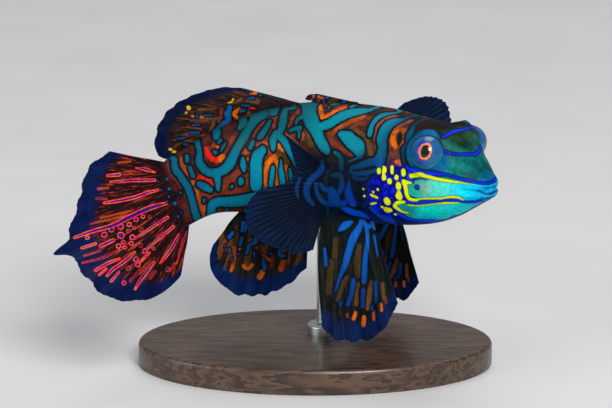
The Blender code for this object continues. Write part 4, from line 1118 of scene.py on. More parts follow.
class Paint:
    """Writes one procedural material, node by node."""

    def __init__(self, name: str, **sockets: float) -> None:
        """Starts from the Principled shader.

        Args:
            name: the material's name.
            sockets: even values of the shader, with _ for spaces in their names.
        """
        self.material = bpy.data.materials.new(name)
        self.material.use_nodes = True
        self.tree = self.material.node_tree
        self.shader = self.tree.nodes["Principled BSDF"]
        for key, value in sockets.items():
            self.shader.inputs[key.replace("_", " ")].default_value = value

    def put(self, socket: Socket, value: Value) -> None:
        """Links a socket or sets its own value."""
        if isinstance(value, Socket):
            self.tree.links.new(value, socket)
        elif socket.type == "RGBA":
            socket.default_value = (*value, 1)
        else:
            socket.default_value = value

    def node(self, kind: str, out: Union[int, str], inputs: Dict[Union[int, str], Value],
             **options: str) -> Socket:
        """Adds a node.

        Args:
            kind: its type, without the ShaderNode prefix.
            out: the output wanted.
            inputs: values or sockets by input.
            options: the node's own settings.

        Returns:
            The output's socket.
        """
        node = self.tree.nodes.new("ShaderNode" + kind)
        for key, value in options.items():
            setattr(node, key, value)
        for key, value in inputs.items():
            self.put(node.inputs[key], value)
        return node.outputs[out]

    def sums(self, operation: str, a: Value, b: Value = 0.0) -> Socket:
        """One Math node."""
        return self.node("Math", 0, {0: a, 1: b}, operation=operation)

    def plus(self, a: Value, b: Value) -> Socket:
        """The sum a + b."""
        return self.sums("ADD", a, b)

    def times(self, a: Value, b: Value) -> Socket:
        """The product a * b."""
        return self.sums("MULTIPLY", a, b)

    def centred(self, noise: Value, reach: float) -> Socket:
        """Noise moved to swing round zero, (noise - 0.5) * reach."""
        return self.times(self.sums("SUBTRACT", noise, 0.5), reach)

    def mark(self, name: str, shift: Value, reach: float = 1.0) -> Socket:
        """The stored distance to a kind of mark, with its edge moved by some of the shift."""
        return self.plus(self.stored(name), self.times(shift, reach))

    def over(self, colour: Value, top: Value, value: Value, start: float, end: float,
             strength: Value = 1.0) -> Socket:
        """Lays one colour over another.

        Args:
            colour: the colour below.
            top: the colour above.
            value: what decides the top's share.
            start: where the top starts to show.
            end: where it is at full strength.
            strength: its share there.

        Returns:
            The mixed colour.
        """
        return self.mix(self.times(self.step(value, start, end), strength), colour, top)

    def between(self, share: Value, low: float, high: float) -> Socket:
        """A number from low to high by the share."""
        return self.node("MapRange", 0, {"Value": share, "To Min": low, "To Max": high})

    def mix(self, share: Value, a: Value, b: Value, how: str = "MIX") -> Socket:
        """Colour a turned into b by the share."""
        return self.node("Mix", 2, {0: share, 6: a, 7: b}, data_type="RGBA", blend_type=how)

    def step(self, value: Value, start: float, end: float) -> Socket:
        """0 up to the start and 1 from the end, eased between; the start may be the higher one."""
        places = {"Value": value, "From Min": start, "From Max": end}
        return self.node("MapRange", 0, places, interpolation_type="SMOOTHSTEP")

    def stored(self, name: str, colour: bool = False) -> Socket:
        """A vertex attribute, as a number or a colour."""
        return self.node("Attribute", 0 if colour else 2, {}, attribute_name=name)

    def place(self, stretch: Optional[Tuple[float, float, float]] = None) -> Socket:
        """Object coordinates, stretched if asked."""
        where = self.node("TexCoord", "Object", {})
        return self.node("Mapping", 0, {"Vector": where, "Scale": stretch}) if stretch else where

    def noise(self, size: float, detail: float = 3.0, where: Optional[Socket] = None,
              roughness: float = 0.55) -> Socket:
        """Noise with features of a size in metres."""
        where = where or self.place()
        inputs = {"Vector": where, "Scale": 1 / size, "Detail": detail, "Roughness": roughness}
        return self.node("TexNoise", 0, inputs)

    def shaded(self, colour: Value, low: float, high: float, noise: Value) -> Socket:
        """A colour made darker and lighter by noise.

        Args:
            colour: the plain colour.
            low: how many times as bright it is at the noise's low places.
            high: the same at its high ones.
            noise: what decides between them.

        Returns:
            The colour's socket.
        """
        share = self.node("MapRange", 0, {"Value": noise, "From Min": 0.3, "From Max": 0.7, "To Min": low,
                                          "To Max": high})
        grey = self.node("CombineColor", 0, {0: share, 1: share, 2: share})
        return self.mix(1.0, colour, grey, "MULTIPLY")

    def relief(self, height: Value, depth: float, strength: float = 1.0) -> None:
        """Bump of a depth in metres."""
        inputs = {"Height": height, "Distance": depth, "Strength": strength}
        self.put(self.shader.inputs["Normal"], self.node("Bump", 0, inputs))

    def colour(self, value: Value) -> None:
        """Sets the base colour."""
        self.put(self.shader.inputs["Base Color"], value)

    def gloss(self, value: Value) -> None:
        """Sets the roughness."""
        self.put(self.shader.inputs["Roughness"], value)


@dataclass(frozen=True)
class SkinFinish:
    """Wet, scaleless skin with black-edged bands."""

    outline: Colour = (0.003, 0.005, 0.010)
    line_blue: Colour = (0.001, 0.012, 0.42)
    line_light: Colour = (0.002, 0.040, 0.85)
    crease: Colour = (0.004, 0.010, 0.080)
    yellow: Colour = (0.72, 0.74, 0.004)
    yellow_edge: Colour = (0.30, 0.42, 0.01)
    lid: Colour = (0.002, 0.10, 0.24)
    bib_deep: Colour = (0.001, 0.003, 0.13)
    bib_bright: Colour = (0.001, 0.010, 0.75)
    wander: float = 0.16  # mm that noise moves a band's edge
    outline_width: float = 0.29  # mm
    ground_cloud: float = 1.1 * MM
    ember_cloud: float = 0.8 * MM
    bib_cloud: float = 0.75 * MM
    mottle: float = 0.5 * MM
    grain: float = 0.16 * MM
    pore: float = 0.07 * MM
    pore_depth: float = 0.035 * MM

    def make(self) -> bpy.types.Material:
        """Layers from the ground up: warm lines, bands, the head's fields, blue lines, yellow."""
        paint = Paint("skin_blue_orange", Coat_Weight=0.03, Coat_Roughness=0.3, Specular_IOR_Level=0.03)
        mid, fine = paint.noise(self.mottle, 3), paint.noise(self.grain, 2)
        shift = paint.centred(mid, self.wander * 2)
        clouds = [paint.noise(size, 4, None, 0.65) for size in (self.ground_cloud, self.ember_cloud)]
        colour = paint.shaded(paint.stored("ground", True), 0.4, 1.8, clouds[0])
        warm = paint.shaded(paint.stored("ember_colour", True), 0.45, 1.5, clouds[1])
        colour = paint.over(colour, warm, paint.mark("ember", shift, 1.8), 0.26, -0.06)
        band = paint.mark("band", shift)
        colour = paint.over(colour, self.outline, band, self.outline_width + 0.10, self.outline_width - 0.08)
        teal = paint.shaded(paint.stored("band_colour", True), 0.86, 1.18, fine)
        teal = paint.over(teal, paint.shaded(teal, 0.62, 0.8, mid), band, -0.42, -0.02)
        colour = paint.over(colour, teal, band, 0.03, -0.05)
        paint.colour(self.head_layers(paint, colour, mid, shift))
        paint.gloss(paint.between(fine, 0.38, 0.6))
        paint.relief(paint.plus(paint.times(fine, 0.6), paint.noise(self.pore, 1)), self.pore_depth)
        return paint.material

    def head_layers(self, paint: Paint, colour: Value, mid: Value, shift: Value) -> Value:
        """The mottled bib, turquoise fields, the eyes' lids with a painted shadow behind them, and the blue,
        dark and yellow lines.
        """
        royal = paint.over(self.bib_deep, self.bib_bright, paint.noise(self.bib_cloud, 3), 0.48, 0.62)
        colour = paint.over(colour, royal, paint.mark("bib", shift, 4.0), 0.25, -0.35)
        turquoise = paint.shaded(paint.stored("cheek_colour", True), 0.82, 1.2, mid)
        colour = paint.over(colour, turquoise, paint.mark("cheek", shift, 0.6), 0.10, -0.10)
        colour = paint.mix(paint.stored("lid"), colour, paint.shaded(self.lid, 0.7, 1.35, mid))
        # painted shadow: the skin is darkened behind each eye
        colour = paint.mix(paint.stored("eye_shadow"), colour, self.outline)
        blue, crease, gold = (paint.mark(name, shift, 0.35) for name in ("blue_line", "crease", "yellow"))
        colour = paint.over(colour, self.outline, blue, 0.20, 0.06, 0.9)
        core = paint.over(self.line_blue, self.line_light, blue, -0.06, -0.2)
        colour = paint.over(colour, core, blue, 0.04, -0.04)
        colour = paint.over(colour, self.crease, crease, 0.08, -0.08, 0.85)
        colour = paint.over(colour, self.outline, gold, 0.16, 0.04, 0.5)
        core = paint.over(self.yellow_edge, self.yellow, gold, -0.03, -0.12)
        return paint.over(colour, core, gold, 0.035, -0.035)


@dataclass
class Skin:
    """One skin from the lips to the root of the tail fin."""

    head_rings: int = 160
    trunk_rings: int = 185
    end_rings: int = 12
    sides: int = 268
    head_end: float = 15.5 * MM
    crowding: float = 1.35
    end_length: float = 1.1 * MM
    end_flatness: float = 0.35
    lips_at: float = 0.8 * MM
    lips_half_width: float = 0.5 * MM
    wrinkle: float = 0.03 * MM
    wrinkles: int = 44
    last_band: float = 47.4  # mm, where the bands' ground gives way to the end's colour
    end_colour: Colour = (0.042, 0.009, 0.008)  # past the last band, as the tail fin's ground
    rim_start: float = 60.0  # degrees from the eye's axis where the skin dives under the ball
    rim_end: float = 75.0
    rim_depth: float = 0.4 * MM
    rim_fold: float = 0.10 * MM
    lid_end: float = 95.0  # degrees from the eye's axis where its blue lid ends
    lid_narrowing: float = 16.0  # degrees less before and behind the ball
    lid_edge: float = 9.0  # degrees over which it fades
    eye_shadow_at: float = 79.0  # degrees of the painted shadow behind it
    eye_shadow_half_width: float = 9.0

    def stations(self, form: BodyForm) -> Tuple[Array, Array]:
        """Stations of the rings, and how far round the tail's end each has turned."""
        head = self.head_end * (np.arange(1, self.head_rings + 1) / self.head_rings) ** self.crowding
        trunk = np.linspace(self.head_end, form.body_length, self.trunk_rings + 1)[1:]
        turn = np.linspace(0, math.pi / 2, self.end_rings + 1)[1:] * 0.995
        stations = np.concatenate([head, trunk, form.body_length + self.end_length * np.sin(turn)])
        return stations, np.concatenate([np.zeros(len(head) + len(trunk)), turn])

    def surface(self, form: BodyForm) -> Tuple[Array, Array, Array, Array]:
        """The skin's grid.

        Sections of the solids' form, with wrinkled lips. Past the body's length each shrinks as a
        cosine, so that the tail's end is round.

        Args:
            form: the body.

        Returns:
            Points in place, points unbent in mm, and shares of the eyes' blue lids and of the painted
            shadow behind them.
        """
        stations, turn = self.stations(form)
        angles = np.linspace(0, 2 * math.pi, self.sides, endpoint=False)
        station, angle = np.meshgrid(stations, angles, indexing="ij")
        lips = bump(station - self.lips_at, self.lips_half_width)
        crease = self.wrinkle * lips * np.cos(self.wrinkles * angle + 3 * np.sin(5 * angle))
        side, rise = form.section(station, angle, crease)
        shrink = np.cos(turn)[:, None]
        side, rise = side * shrink, rise * shrink ** self.end_flatness
        placed = form.placed(station, side, rise)
        lid, eye_shadow = np.zeros((2,) + station.shape)
        for eye in (1, -1):
            placed, eye_lid, one_eye_shadow = self.round_eye(form, placed, eye)
            lid, eye_shadow = np.maximum(lid, eye_lid), np.maximum(eye_shadow, one_eye_shadow)
        return placed, np.stack([station, side, rise], 2) / MM, lid, eye_shadow

    def round_eye(self, form: BodyForm, placed: Array, turn: int) -> Tuple[Array, Array, Array]:
        """Tucks the skin under one ball.

        Args:
            form: the body.
            placed: the skin's points.
            turn: 1 for the left eye and -1 for the right.

        Returns:
            The moved points, and shares of the eye's blue lid and of the painted shadow behind it.
        """
        _, forward, _, left = form.spine_at(form.eye_station)
        centre, axis = form.eye_frame(turn)
        away = placed - centre
        reach = np.linalg.norm(away, axis=2)
        bearing = np.degrees(np.arccos(np.clip((away @ axis) / reach, -1, 1)))
        ahead = (away @ forward) / reach
        close = reach < 2 * form.eye_radius
        inward = ease((self.rim_end - bearing) / (self.rim_end - self.rim_start)) * close
        fold = self.rim_fold * bump(bearing - self.rim_end - 3, 5.0) * close
        moved = reach + (form.eye_radius - self.rim_depth - reach) * inward + fold * (1 - inward)
        near = ease((1.6 - reach / form.eye_radius) / 0.25)
        inner = ease((away @ left) / reach * -turn * 5 - 0.5)
        end = self.lid_end - self.lid_narrowing * ease(np.abs(ahead) * 2.5 - 0.2) - 12 * inner
        # painted shadow: a dark band on the skin behind the ball
        eye_shadow = near * ease(-ahead * 2.5) * bump(bearing - self.eye_shadow_at, self.eye_shadow_half_width)
        lid = near * ease((end - bearing) / self.lid_edge)
        return centre + away * (moved / reach)[..., None], lid, eye_shadow

    def build(self, form: BodyForm, camera: PhotoCamera) -> bpy.types.Object:
        """Makes the skin with its markings."""
        placed, flat, lid, eye_shadow = self.surface(form)
        points = np.vstack([placed.reshape(-1, 3), form.skin(0.0, 0.0), placed[-1].mean(0)])
        piece = Piece("skin", points, capped_faces(*placed.shape[:2]))
        unbent = np.vstack([flat.reshape(-1, 3), flat[0].mean(0), flat[-1].mean(0)])
        self.mark(piece, Canvas(form, camera, placed, flat, True), unbent, form)
        for name, share in (("lid", lid), ("eye_shadow", eye_shadow)):
            piece.write(name, np.concatenate([share.ravel(), [0, 0]]))
        return piece.dress(SkinFinish().make(), "skin", "head", "torso", "tail")

    def mark(self, piece: Piece, canvas: Canvas, unbent: Array, form: BodyForm) -> None:
        """Stores the distance to each kind of mark, and the colours by place."""
        bands = canvas.strokes(list(TEAL_BANDS.values()) + list(CHEST_BANDS.values()))
        bands += [self.hidden_stroke(form, path) for path in HIDDEN_BANDS.values()]
        piece.write("band", distance_to(bands, unbent)[0])
        embers = list(EMBERS.values())
        warm, which = distance_to(canvas.strokes([path for _, path in embers]), unbent)
        piece.write("ember", warm)
        piece.write("ember_colour", np.array([tone.value for tone, _ in embers])[which])
        for name, paths in (("bib", BIB), ("cheek", CHEEK_FIELDS), ("blue_line", BLUE_LINES),
                            ("yellow", YELLOW_LINES), ("crease", CREASES)):
            piece.write(name, distance_to(canvas.strokes(list(paths.values())), unbent)[0])
        ground, band = self.zoned(canvas, unbent, BODY_ZONES)
        past = ease((unbent[:, :1] - self.last_band) / 0.5)
        piece.write("ground", ground + (np.array(self.end_colour) - ground) * past)
        piece.write("band_colour", band)
        piece.write("cheek_colour", self.zoned(canvas, unbent, CHEEK_ZONES)[0])

    @staticmethod
    def zoned(canvas: Canvas, unbent: Array, zones: Dict[str, tuple]) -> List[Array]:
        """The colours of a table of zones, blended between their places on the folded skin."""
        rows = list(zones.values())
        places = folded(canvas.spots([row[:2] for row in rows]))
        reaches = np.array([row[2] for row in rows])
        return [blended(folded(unbent), places, reaches, np.array(tones)) for tones in list(zip(*rows))[3:]]

    @staticmethod
    def hidden_stroke(form: BodyForm, path: Path) -> Stroke:
        """A stroke given by station, angle and width."""
        station, angle, width = np.array(path, float).T
        at = np.linspace(0, len(path) - 1, 60 * len(path))
        numbers = np.arange(len(path))
        station, angle, width = (smooth(tuple(zip(numbers, v)), at) for v in (station, angle, width))
        side, rise = form.section(station * MM, np.radians(angle))
        return Stroke(np.stack([station, np.abs(side) / MM, rise / MM, width / 2], 1), True)


@dataclass(frozen=True)
class EyeFinish:
    """Blue eye with a fiery iris under a clear cornea. Half sizes of its rings are in mm."""

    pupil: Tuple[float, float] = (0.57, 0.77)
    iris: Tuple[float, float] = (0.80, 1.08)
    lean: float = -14.0
    black: Colour = (0.002, 0.004, 0.006)
    inner: Colour = (0.72, 0.22, 0.04)
    outer: Colour = (0.78, 0.020, 0.05)
    near_blue: Colour = (0.001, 0.022, 0.30)
    far_blue: Colour = (0.001, 0.085, 0.24)
    # painted highlight: the lighter lower edge of the ball
    hem: Colour = (0.002, 0.20, 0.30)
    # painted shade on the ball's upper edge, under the skin's rim
    shade: Colour = (0.004, 0.012, 0.016)
    mottle: float = 0.35 * MM
    grain: float = 0.09 * MM
    wander: float = 0.22  # share of a ring's size that noise moves it
    iris_depth: float = 0.04 * MM

    def make(self) -> bpy.types.Material:
        """Rings by the leaning oval's radius round the pupil, with a painted highlight on the ball's lower
        edge and painted shade on its upper edge and where it goes under the skin.
        """
        paint = Paint("eye_blue", Coat_Weight=0.8, Coat_Roughness=0.02, Roughness=0.4, Specular_IOR_Level=0.1)
        x, y, pole = (paint.stored(name) for name in ("look_x", "look_y", "pole"))
        mid, fine = paint.noise(self.mottle, 3), paint.noise(self.grain, 2)
        cosine, sine = math.cos(math.radians(self.lean)), math.sin(math.radians(self.lean))
        across = paint.plus(paint.times(x, cosine), paint.times(y, sine))
        upward = paint.plus(paint.times(y, cosine), paint.times(x, -sine))
        pupil, iris = (paint.plus(self.oval(paint, across, upward, half), paint.centred(mid, self.wander))
                       for half in (self.pupil, self.iris))
        royal = paint.times(paint.step(iris, 1.9, 1.1), paint.step(x, 0.5, -0.5))
        blue = paint.shaded(paint.mix(royal, self.far_blue, self.near_blue), 0.75, 1.3, mid)
        # painted highlight along the ball's lower edge
        blue = paint.over(blue, self.hem, pole, 42.0, 60.0, paint.times(paint.step(y, 0.6, -1.4), 0.8))
        fire = paint.shaded(paint.over(self.inner, self.outer, pupil, 1.05, 1.75), 0.7, 1.3, fine)
        colour = paint.over(blue, fire, iris, 1.05, 0.93)
        colour = paint.over(colour, self.black, pupil, 1.06, 0.94)
        # painted shade along the ball's upper edge
        colour = paint.over(colour, self.shade, pole, 52.0, 62.0, paint.times(paint.step(y, 0.2, 1.2), 0.9))
        # painted shade: the ball turns black where it goes under the skin
        paint.colour(paint.over(colour, self.black, pole, 60.0, 70.0))
        paint.relief(paint.plus(paint.step(iris, 1.1, 0.9), paint.times(fine, 0.4)), self.iris_depth)
        return paint.material

    @staticmethod
    def oval(paint: Paint, across: Value, upward: Value, half: Tuple[float, float]) -> Value:
        """Radius in shares of an oval's half sizes."""
        one, two = (paint.sums("DIVIDE", way, size) for way, size in zip((across, upward), half))
        return paint.sums("SQRT", paint.plus(paint.times(one, one), paint.times(two, two)))


@dataclass
class Eyes:
    """Two balls that look out of their domes."""

    rings: int = 96
    sides: int = 160
    cornea_rise: float = 0.06

    def build(self, form: BodyForm) -> None:
        """A ball whose radius grows near its pole as a cornea: 1 + rise * ((cos - 0.55) / 0.45)^1.5."""
        material = EyeFinish().make()
        _, forward, up, _ = form.spine_at(form.eye_station)
        pole, around = np.meshgrid(np.linspace(0, math.pi, self.rings + 1)[1:-1],
                                   np.linspace(0, 2 * math.pi, self.sides, endpoint=False), indexing="ij")
        x, y, z = np.sin(pole) * np.cos(around), np.sin(pole) * np.sin(around), np.cos(pole)
        radius = form.eye_radius * (1 + self.cornea_rise * np.clip((z - 0.55) / 0.45, 0, None) ** 1.5)
        for name, turn in (("left", 1), ("right", -1)):
            centre, axis = form.eye_frame(turn)
            high = unit(up - axis * (up @ axis))
            ahead = unit(forward - axis * (forward @ axis) - high * (forward @ high))
            way = x[..., None] * ahead + y[..., None] * high + z[..., None] * axis
            ball = centre + way * radius[..., None]
            tip = centre + axis * form.eye_radius * (1 + self.cornea_rise)
            rear = centre - axis * form.eye_radius
            points = np.vstack([ball.reshape(-1, 3), tip, rear])
            piece = Piece(f"eyeball_{name}", points, capped_faces(self.rings - 1, self.sides))
            for way, values in (("look_x", x), ("look_y", y)):
                piece.write(way, np.concatenate([values.ravel() * form.eye_radius / MM, [0, 0]]))
            piece.write("pole", np.concatenate([np.degrees(pole).ravel(), [0, 180]]))
            piece.dress(material, "eye", f"eye_{name}")


@dataclass(frozen=True)
class FinFinish:
    """A fin's membrane: fibres along the rays, listed marks, and a plain margin."""

    name: str
    ground: Colour
    fibre: Colour  # faint lines along the rays
    margin: Colour
    ray: Colour
    near: Colour  # blue marks by the root, and far out
    far: Colour
    margin_start: float = 0.8
    membrane: float = 1.0  # opacity
    ray_share: float = 0.5
    red: Colour = (0.90, 0.030, 0.010)
    orange: Colour = (0.90, 0.12, 0.004)
    violet: Colour = (0.040, 0.005, 0.20)
    black: Colour = (0.001, 0.002, 0.004)
    root: Colour = (0.004, 0.010, 0.020)
    cloud: float = 1.3 * MM
    mottle: float = 0.4 * MM
    grain: float = 0.12 * MM
    depth: float = 0.03 * MM
    wander: float = 0.18  # mm that noise moves a mark's edge
    fibres_per_ray: float = 6.5

    def make(self) -> bpy.types.Material:
        """Layers from the ground up: fibres, rays, margin, streaks, warm marks, blue marks."""
        paint = Paint(f"fin_{self.name}", Coat_Weight=0.02, Coat_Roughness=0.3, Specular_IOR_Level=0.04,
                      Roughness=0.55)
        out = paint.stored("out")
        coarse, mid = (paint.noise(size, 3) for size in (self.cloud, self.mottle))
        fine = paint.noise(self.grain, 2)
        shift = paint.centred(mid, self.wander)
        fibres = paint.noise(1.0, 4, self.along(paint, out), 0.7)
        colour = paint.shaded(self.ground, 0.5, 1.6, coarse)
        colour = paint.over(colour, self.fibre, fibres, 0.55, 0.61, paint.step(out, 0.5, 5.0))
        ridge = paint.step(paint.stored("ridge"), 0.25, 0.9)
        colour = paint.mix(paint.times(ridge, self.ray_share), colour, self.ray)
        colour = paint.over(colour, self.root, out, 1.2, 0.3)
        wave = paint.plus(paint.centred(coarse, 0.14), paint.centred(fibres, 0.16))
        edge = paint.plus(paint.stored("reach"), wave)
        margin = paint.shaded(self.margin, 0.6, 1.5, coarse)
        colour = paint.over(colour, margin, edge, self.margin_start - 0.07, self.margin_start + 0.05)
        streak = paint.mark("streak", shift, 0.4)
        hem = paint.over(self.red, self.orange, coarse, 0.42, 0.58)
        line = paint.shaded(paint.over(hem, self.violet, streak, -0.12, -0.15), 0.7, 1.15, mid)
        colour = paint.over(colour, line, streak, 0.02, -0.06, paint.stored("streak_tone"))
        warm = paint.shaded(paint.stored("warm_colour", True), 0.7, 1.25, mid)
        colour = paint.over(colour, warm, paint.mark("warm", shift), 0.08, -0.12)
        blue = paint.mark("blue", shift, 0.8)
        colour = paint.over(colour, self.black, blue, 0.26, 0.10, 0.85)
        deep = paint.over(self.near, self.far, out, 2.5, 11.0)
        deep = paint.over(deep, paint.shaded(deep, 0.5, 0.7, mid), blue, -0.30, 0.0)
        paint.colour(paint.over(colour, deep, blue, 0.04, -0.06))
        if self.membrane < 1:
            solid = paint.sums("MAXIMUM", paint.times(ridge, 0.8), paint.step(out, 3.2, 0.8))
            solid = paint.sums("MAXIMUM", solid, paint.step(blue, 0.2, 0.0))
            veil = paint.plus(self.membrane, paint.times(solid, 1 - self.membrane))
            paint.put(paint.shader.inputs["Alpha"], veil)
        paint.relief(paint.plus(fibres, fine), self.depth)
        return paint.material

    def along(self, paint: Paint, out: Value) -> Value:
        """Place by ray and distance out, drawn long along the rays, in units of the fibres' size."""
        across = paint.times(paint.stored("ray"), self.fibres_per_ray)
        return paint.node("CombineXYZ", 0, {0: across, 1: paint.times(out, 0.25)})


@dataclass
class Fin:
    """A fan of rays. Each table runs from the first ray, 0, to the last, 1."""

    name: str
    rays: int
    length: Table  # mm
    finish: FinFinish
    stations: Table = ()  # mm
    angles: Table = ()  # degrees round the body
    aft: Table = ()
    up: Table = ()
    left: Table = ()
    bow: Table = ((0, 0), (1, 0))  # mm that a ray bends out half way along, towards the last ray
    ripple: float = 0.0  # mm
    waves: float = 2.0
    root_thickness: float = 0.3  # mm
    scallop: float = 0.02  # dips of the edge between rays, as a share of their length
    fray: float = 0.004  # uneven nicks of the edge, likewise
    end_share: float = 0.10  # share of the width in which the end rays thin out
    end_thinning: float = 0.75
    clearance: float = 0.05 * MM
    columns_per_ray: int = 20
    rows: int = 90
    sunk: Tuple[float, ...] = (-0.7, -0.4, -0.15)  # heights in mm of the rows inside the skin
    ridge: float = 0.26  # mm
    pleat: float = 0.10  # mm
    membrane: Table = ((0.16, 0.34), (0.5, 0.2), (1, 0.1))  # thickness in mm by the share along the ray
    marks: Marks = Marks()
    twin: str = ""  # the fin whose marks it wears, if it has none of its own

    def sheet(self, form: BodyForm, across: Array, along: Array) -> Array:
        """Middle surface: each ray runs straight out from its root, with a wave that grows outwards."""
        station = smooth(self.stations, across) * MM
        angle = np.radians(smooth(self.angles, across))
        _, forward, up, left = form.spine_at(station)
        root = form.settled(form.skin(station, angle), self.clearance)
        way = unit(-forward * smooth(self.aft, across)[..., None] + up * smooth(self.up, across)[..., None]
                   + left * smooth(self.left, across)[..., None])
        reach = smooth(self.length, across) * MM * along
        wave = self.ripple * MM * np.sin(2 * np.pi * self.waves * across) * along ** 2
        side = unit(np.cross(way, forward))
        span = way[-1, 0] - way[0, 0]
        lean = unit(span - way * (way @ span)[..., None])
        bulge = smooth(self.bow, across) * MM * np.sin(np.pi * along)
        return root + way * reach[..., None] + side * wave[..., None] + lean * bulge[..., None]

    def rooted(self, form: BodyForm, points: Array, thickness: Array) -> Array:
        """The sheet kept off the body, with the sunk rows before it."""
        points = form.kept_clear(points, self.clearance + thickness / 2)
        roots = [form.settled(points[:, 0], height * MM)[:, None] for height in self.sunk]
        return np.concatenate(roots + [points], 1)

    def ridges(self, ray: Array, along: Array) -> Array:
        """How high each place stands on a ray: one bell at the root that parts in two, then in four."""
        aside = ray - np.floor(ray + 0.5)
        first = 0.17 * ease((along - 0.38) / 0.3)
        second = 0.07 * ease((along - 0.68) / 0.25)
        width = 0.085 - 0.03 * along
        total = np.zeros_like(aside)
        for one in (-1, 1):
            for two in (-1, 1):
                total = np.maximum(total, bump(aside - one * first - two * second, width))
        return total

    def thickness(self, across: Array, along: Array, ridge: Array) -> Array:
        """The membrane with its rays, thinner by the root towards the first and the last ray."""
        profile = smooth(((0, self.root_thickness),) + self.membrane, along)
        ends = ease(np.minimum(across, 1 - across) / self.end_share)
        tapered = 1 - (1 - ends) * self.end_thinning * (1 - ease(along / 0.4))
        return (profile + self.ridge * ridge * (1 - 0.6 * along)) * tapered * MM

    @staticmethod
    def shell(placed: Array, thickness: Array) -> Tuple[Array, List[List[int]]]:
        """Two faces apart by the thickness, and a strip round the edge.

        Args:
            placed: the middle surface, rows by columns of points.
            thickness: at each of its points.

        Returns:
            Points and faces of the closed shell.
        """
        offset = normals(placed) * (thickness / 2)[..., None]
        count = placed.shape[0] * placed.shape[1]
        index = np.arange(count).reshape(placed.shape[:2])
        faces = grid_faces(*index.shape, False)
        edge = np.concatenate([index[:, 0], index[-1, 1:], index[-2::-1, -1], index[0, -2:0:-1]])
        after = np.roll(edge, -1)
        strip = np.stack([edge, edge + count, after + count, after], 1)
        points = np.concatenate([(placed + offset).reshape(-1, 3), (placed - offset).reshape(-1, 3)])
        return points, np.concatenate([faces, faces[:, ::-1] + count, strip]).tolist()

    def build(self, form: BodyForm, camera: PhotoCamera, worn: Dict[str, Dict[str, Array]]) -> None:
        """Makes the fin with its marks.

        Args:
            form: the body.
            camera: the photo's view.
            worn: marks laid so far, by the fin's name.
        """
        last = self.rays - 1
        shares = (np.linspace(0, 1, last * self.columns_per_ray + 1), np.linspace(0, 1, self.rows))
        across, along = np.meshgrid(*shares, indexing="ij")
        ray = across * last
        ragged = self.scallop * np.sin(np.pi * ray) ** 2 + self.fray * np.sin(7.3 * ray) * np.sin(17 * ray)
        reach = along * (1 - ragged * along ** 4)
        ridge = self.ridges(ray, along) * ease(along / 0.2)
        thickness = self.thickness(across, along, ridge)
        middle = self.sheet(form, across, reach)
        pleats = self.pleat * MM * np.cos(2 * np.pi * ray) * ease(along / 0.5)
        placed = self.rooted(form, middle + normals(middle) * pleats[..., None], thickness)
        extra = placed.shape[1] - self.rows
        thickness, ridge, ray, reach = (
            np.concatenate([np.repeat(v[:, :1], extra, 1), v], 1) for v in (thickness, ridge, ray, reach)
        )
        piece = Piece(f"{self.name}_fine", *self.shell(placed, thickness), sharp=50)
        out = reach * smooth(self.length, np.clip(ray / last, 0, 1))
        for name, values in (("ray", ray), ("reach", reach), ("out", out), ("ridge", ridge)):
            piece.write(name, np.tile(values.ravel(), 2))
        if self.twin:
            marks = worn[self.twin]
        else:
            marks = worn[self.name] = self.laid(form, camera, placed)
        for name, values in marks.items():
            piece.write(name, np.concatenate([values, values]))
        piece.dress(self.finish.make(), "fin", self.name)

    def laid(self, form: BodyForm, camera: PhotoCamera, placed: Array) -> Dict[str, Array]:
        """Distances to each kind of mark, with the streaks' strength and the warm marks' colours."""
        canvas = Canvas(form, camera, placed, placed / MM, False)
        streak, which = distance_to(canvas.strokes(self.marks.streaks + self.marks.faint), canvas.flat)
        paths = [(tone, path) for tone, group in self.marks.warm for path in group]
        warm, nearest = distance_to(canvas.strokes([path for _, path in paths]), canvas.flat)
        tones = np.array([tone.value for tone, _ in paths] or [Ember.RUST.value])
        return {
            "streak": streak, "streak_tone": np.where(which < len(self.marks.streaks), 1.0, 0.4),
            "warm": warm, "warm_colour": tones[nearest],
            "blue": distance_to(canvas.strokes(self.marks.blue), canvas.flat)[0],
        }


@dataclass
class TailFin(Fin):
    """The tail fin: a fan in the plane of the spine, rooted across the end of the tail."""

    top: float = 4.3
    bottom: float = -4.6
    spread: Table = ((0, 34), (0.5, 0), (0.8, -23), (1, -46))
    root_depths: Tuple[float, ...] = (-1.4, -0.9, -0.4)  # mm before the root
    spike: float = 0.12  # one ray's tip, as a share of its length
    spike_at: float = 0.485
    spike_half_width: float = 0.022
    root_share: float = 0.86  # the hidden rows' width as a share of the root's

    def fan(self, form: BodyForm, across: Array, reach: Array, wave: Array) -> Array:
        """A place at a reach along a slanting ray, carried by the spine's own bend."""
        root = (self.top + (self.bottom - self.top) * across) * MM
        slant = np.radians(smooth(self.spread, across))
        station = form.body_length + GAP + reach * np.cos(slant)
        centre, _, up, left = form.spine_at(station)
        return centre + up * (root + reach * np.sin(slant))[..., None] + left * wave[..., None]

    def sheet(self, form: BodyForm, across: Array, along: Array) -> Array:
        """Middle surface of the tail fin."""
        wave = self.ripple * MM * np.sin(2 * np.pi * self.waves * across) * along ** 2
        spike = 1 + self.spike * bump(across - self.spike_at, self.spike_half_width) * along ** 10
        return self.fan(form, across, smooth(self.length, across) * MM * along * spike, wave)

    def rooted(self, form: BodyForm, points: Array, thickness: Array) -> Array:
        """The sheet with rows before it that lie inside the tail."""
        across = np.linspace(0, 1, points.shape[0])
        shrink = 0.5 + (across - 0.5) * self.root_share
        rows = [self.fan(form, shrink, np.full_like(across, depth * MM), np.zeros_like(across))[:, None]
                for depth in self.root_depths]
        return np.concatenate(rows + [points], 1)


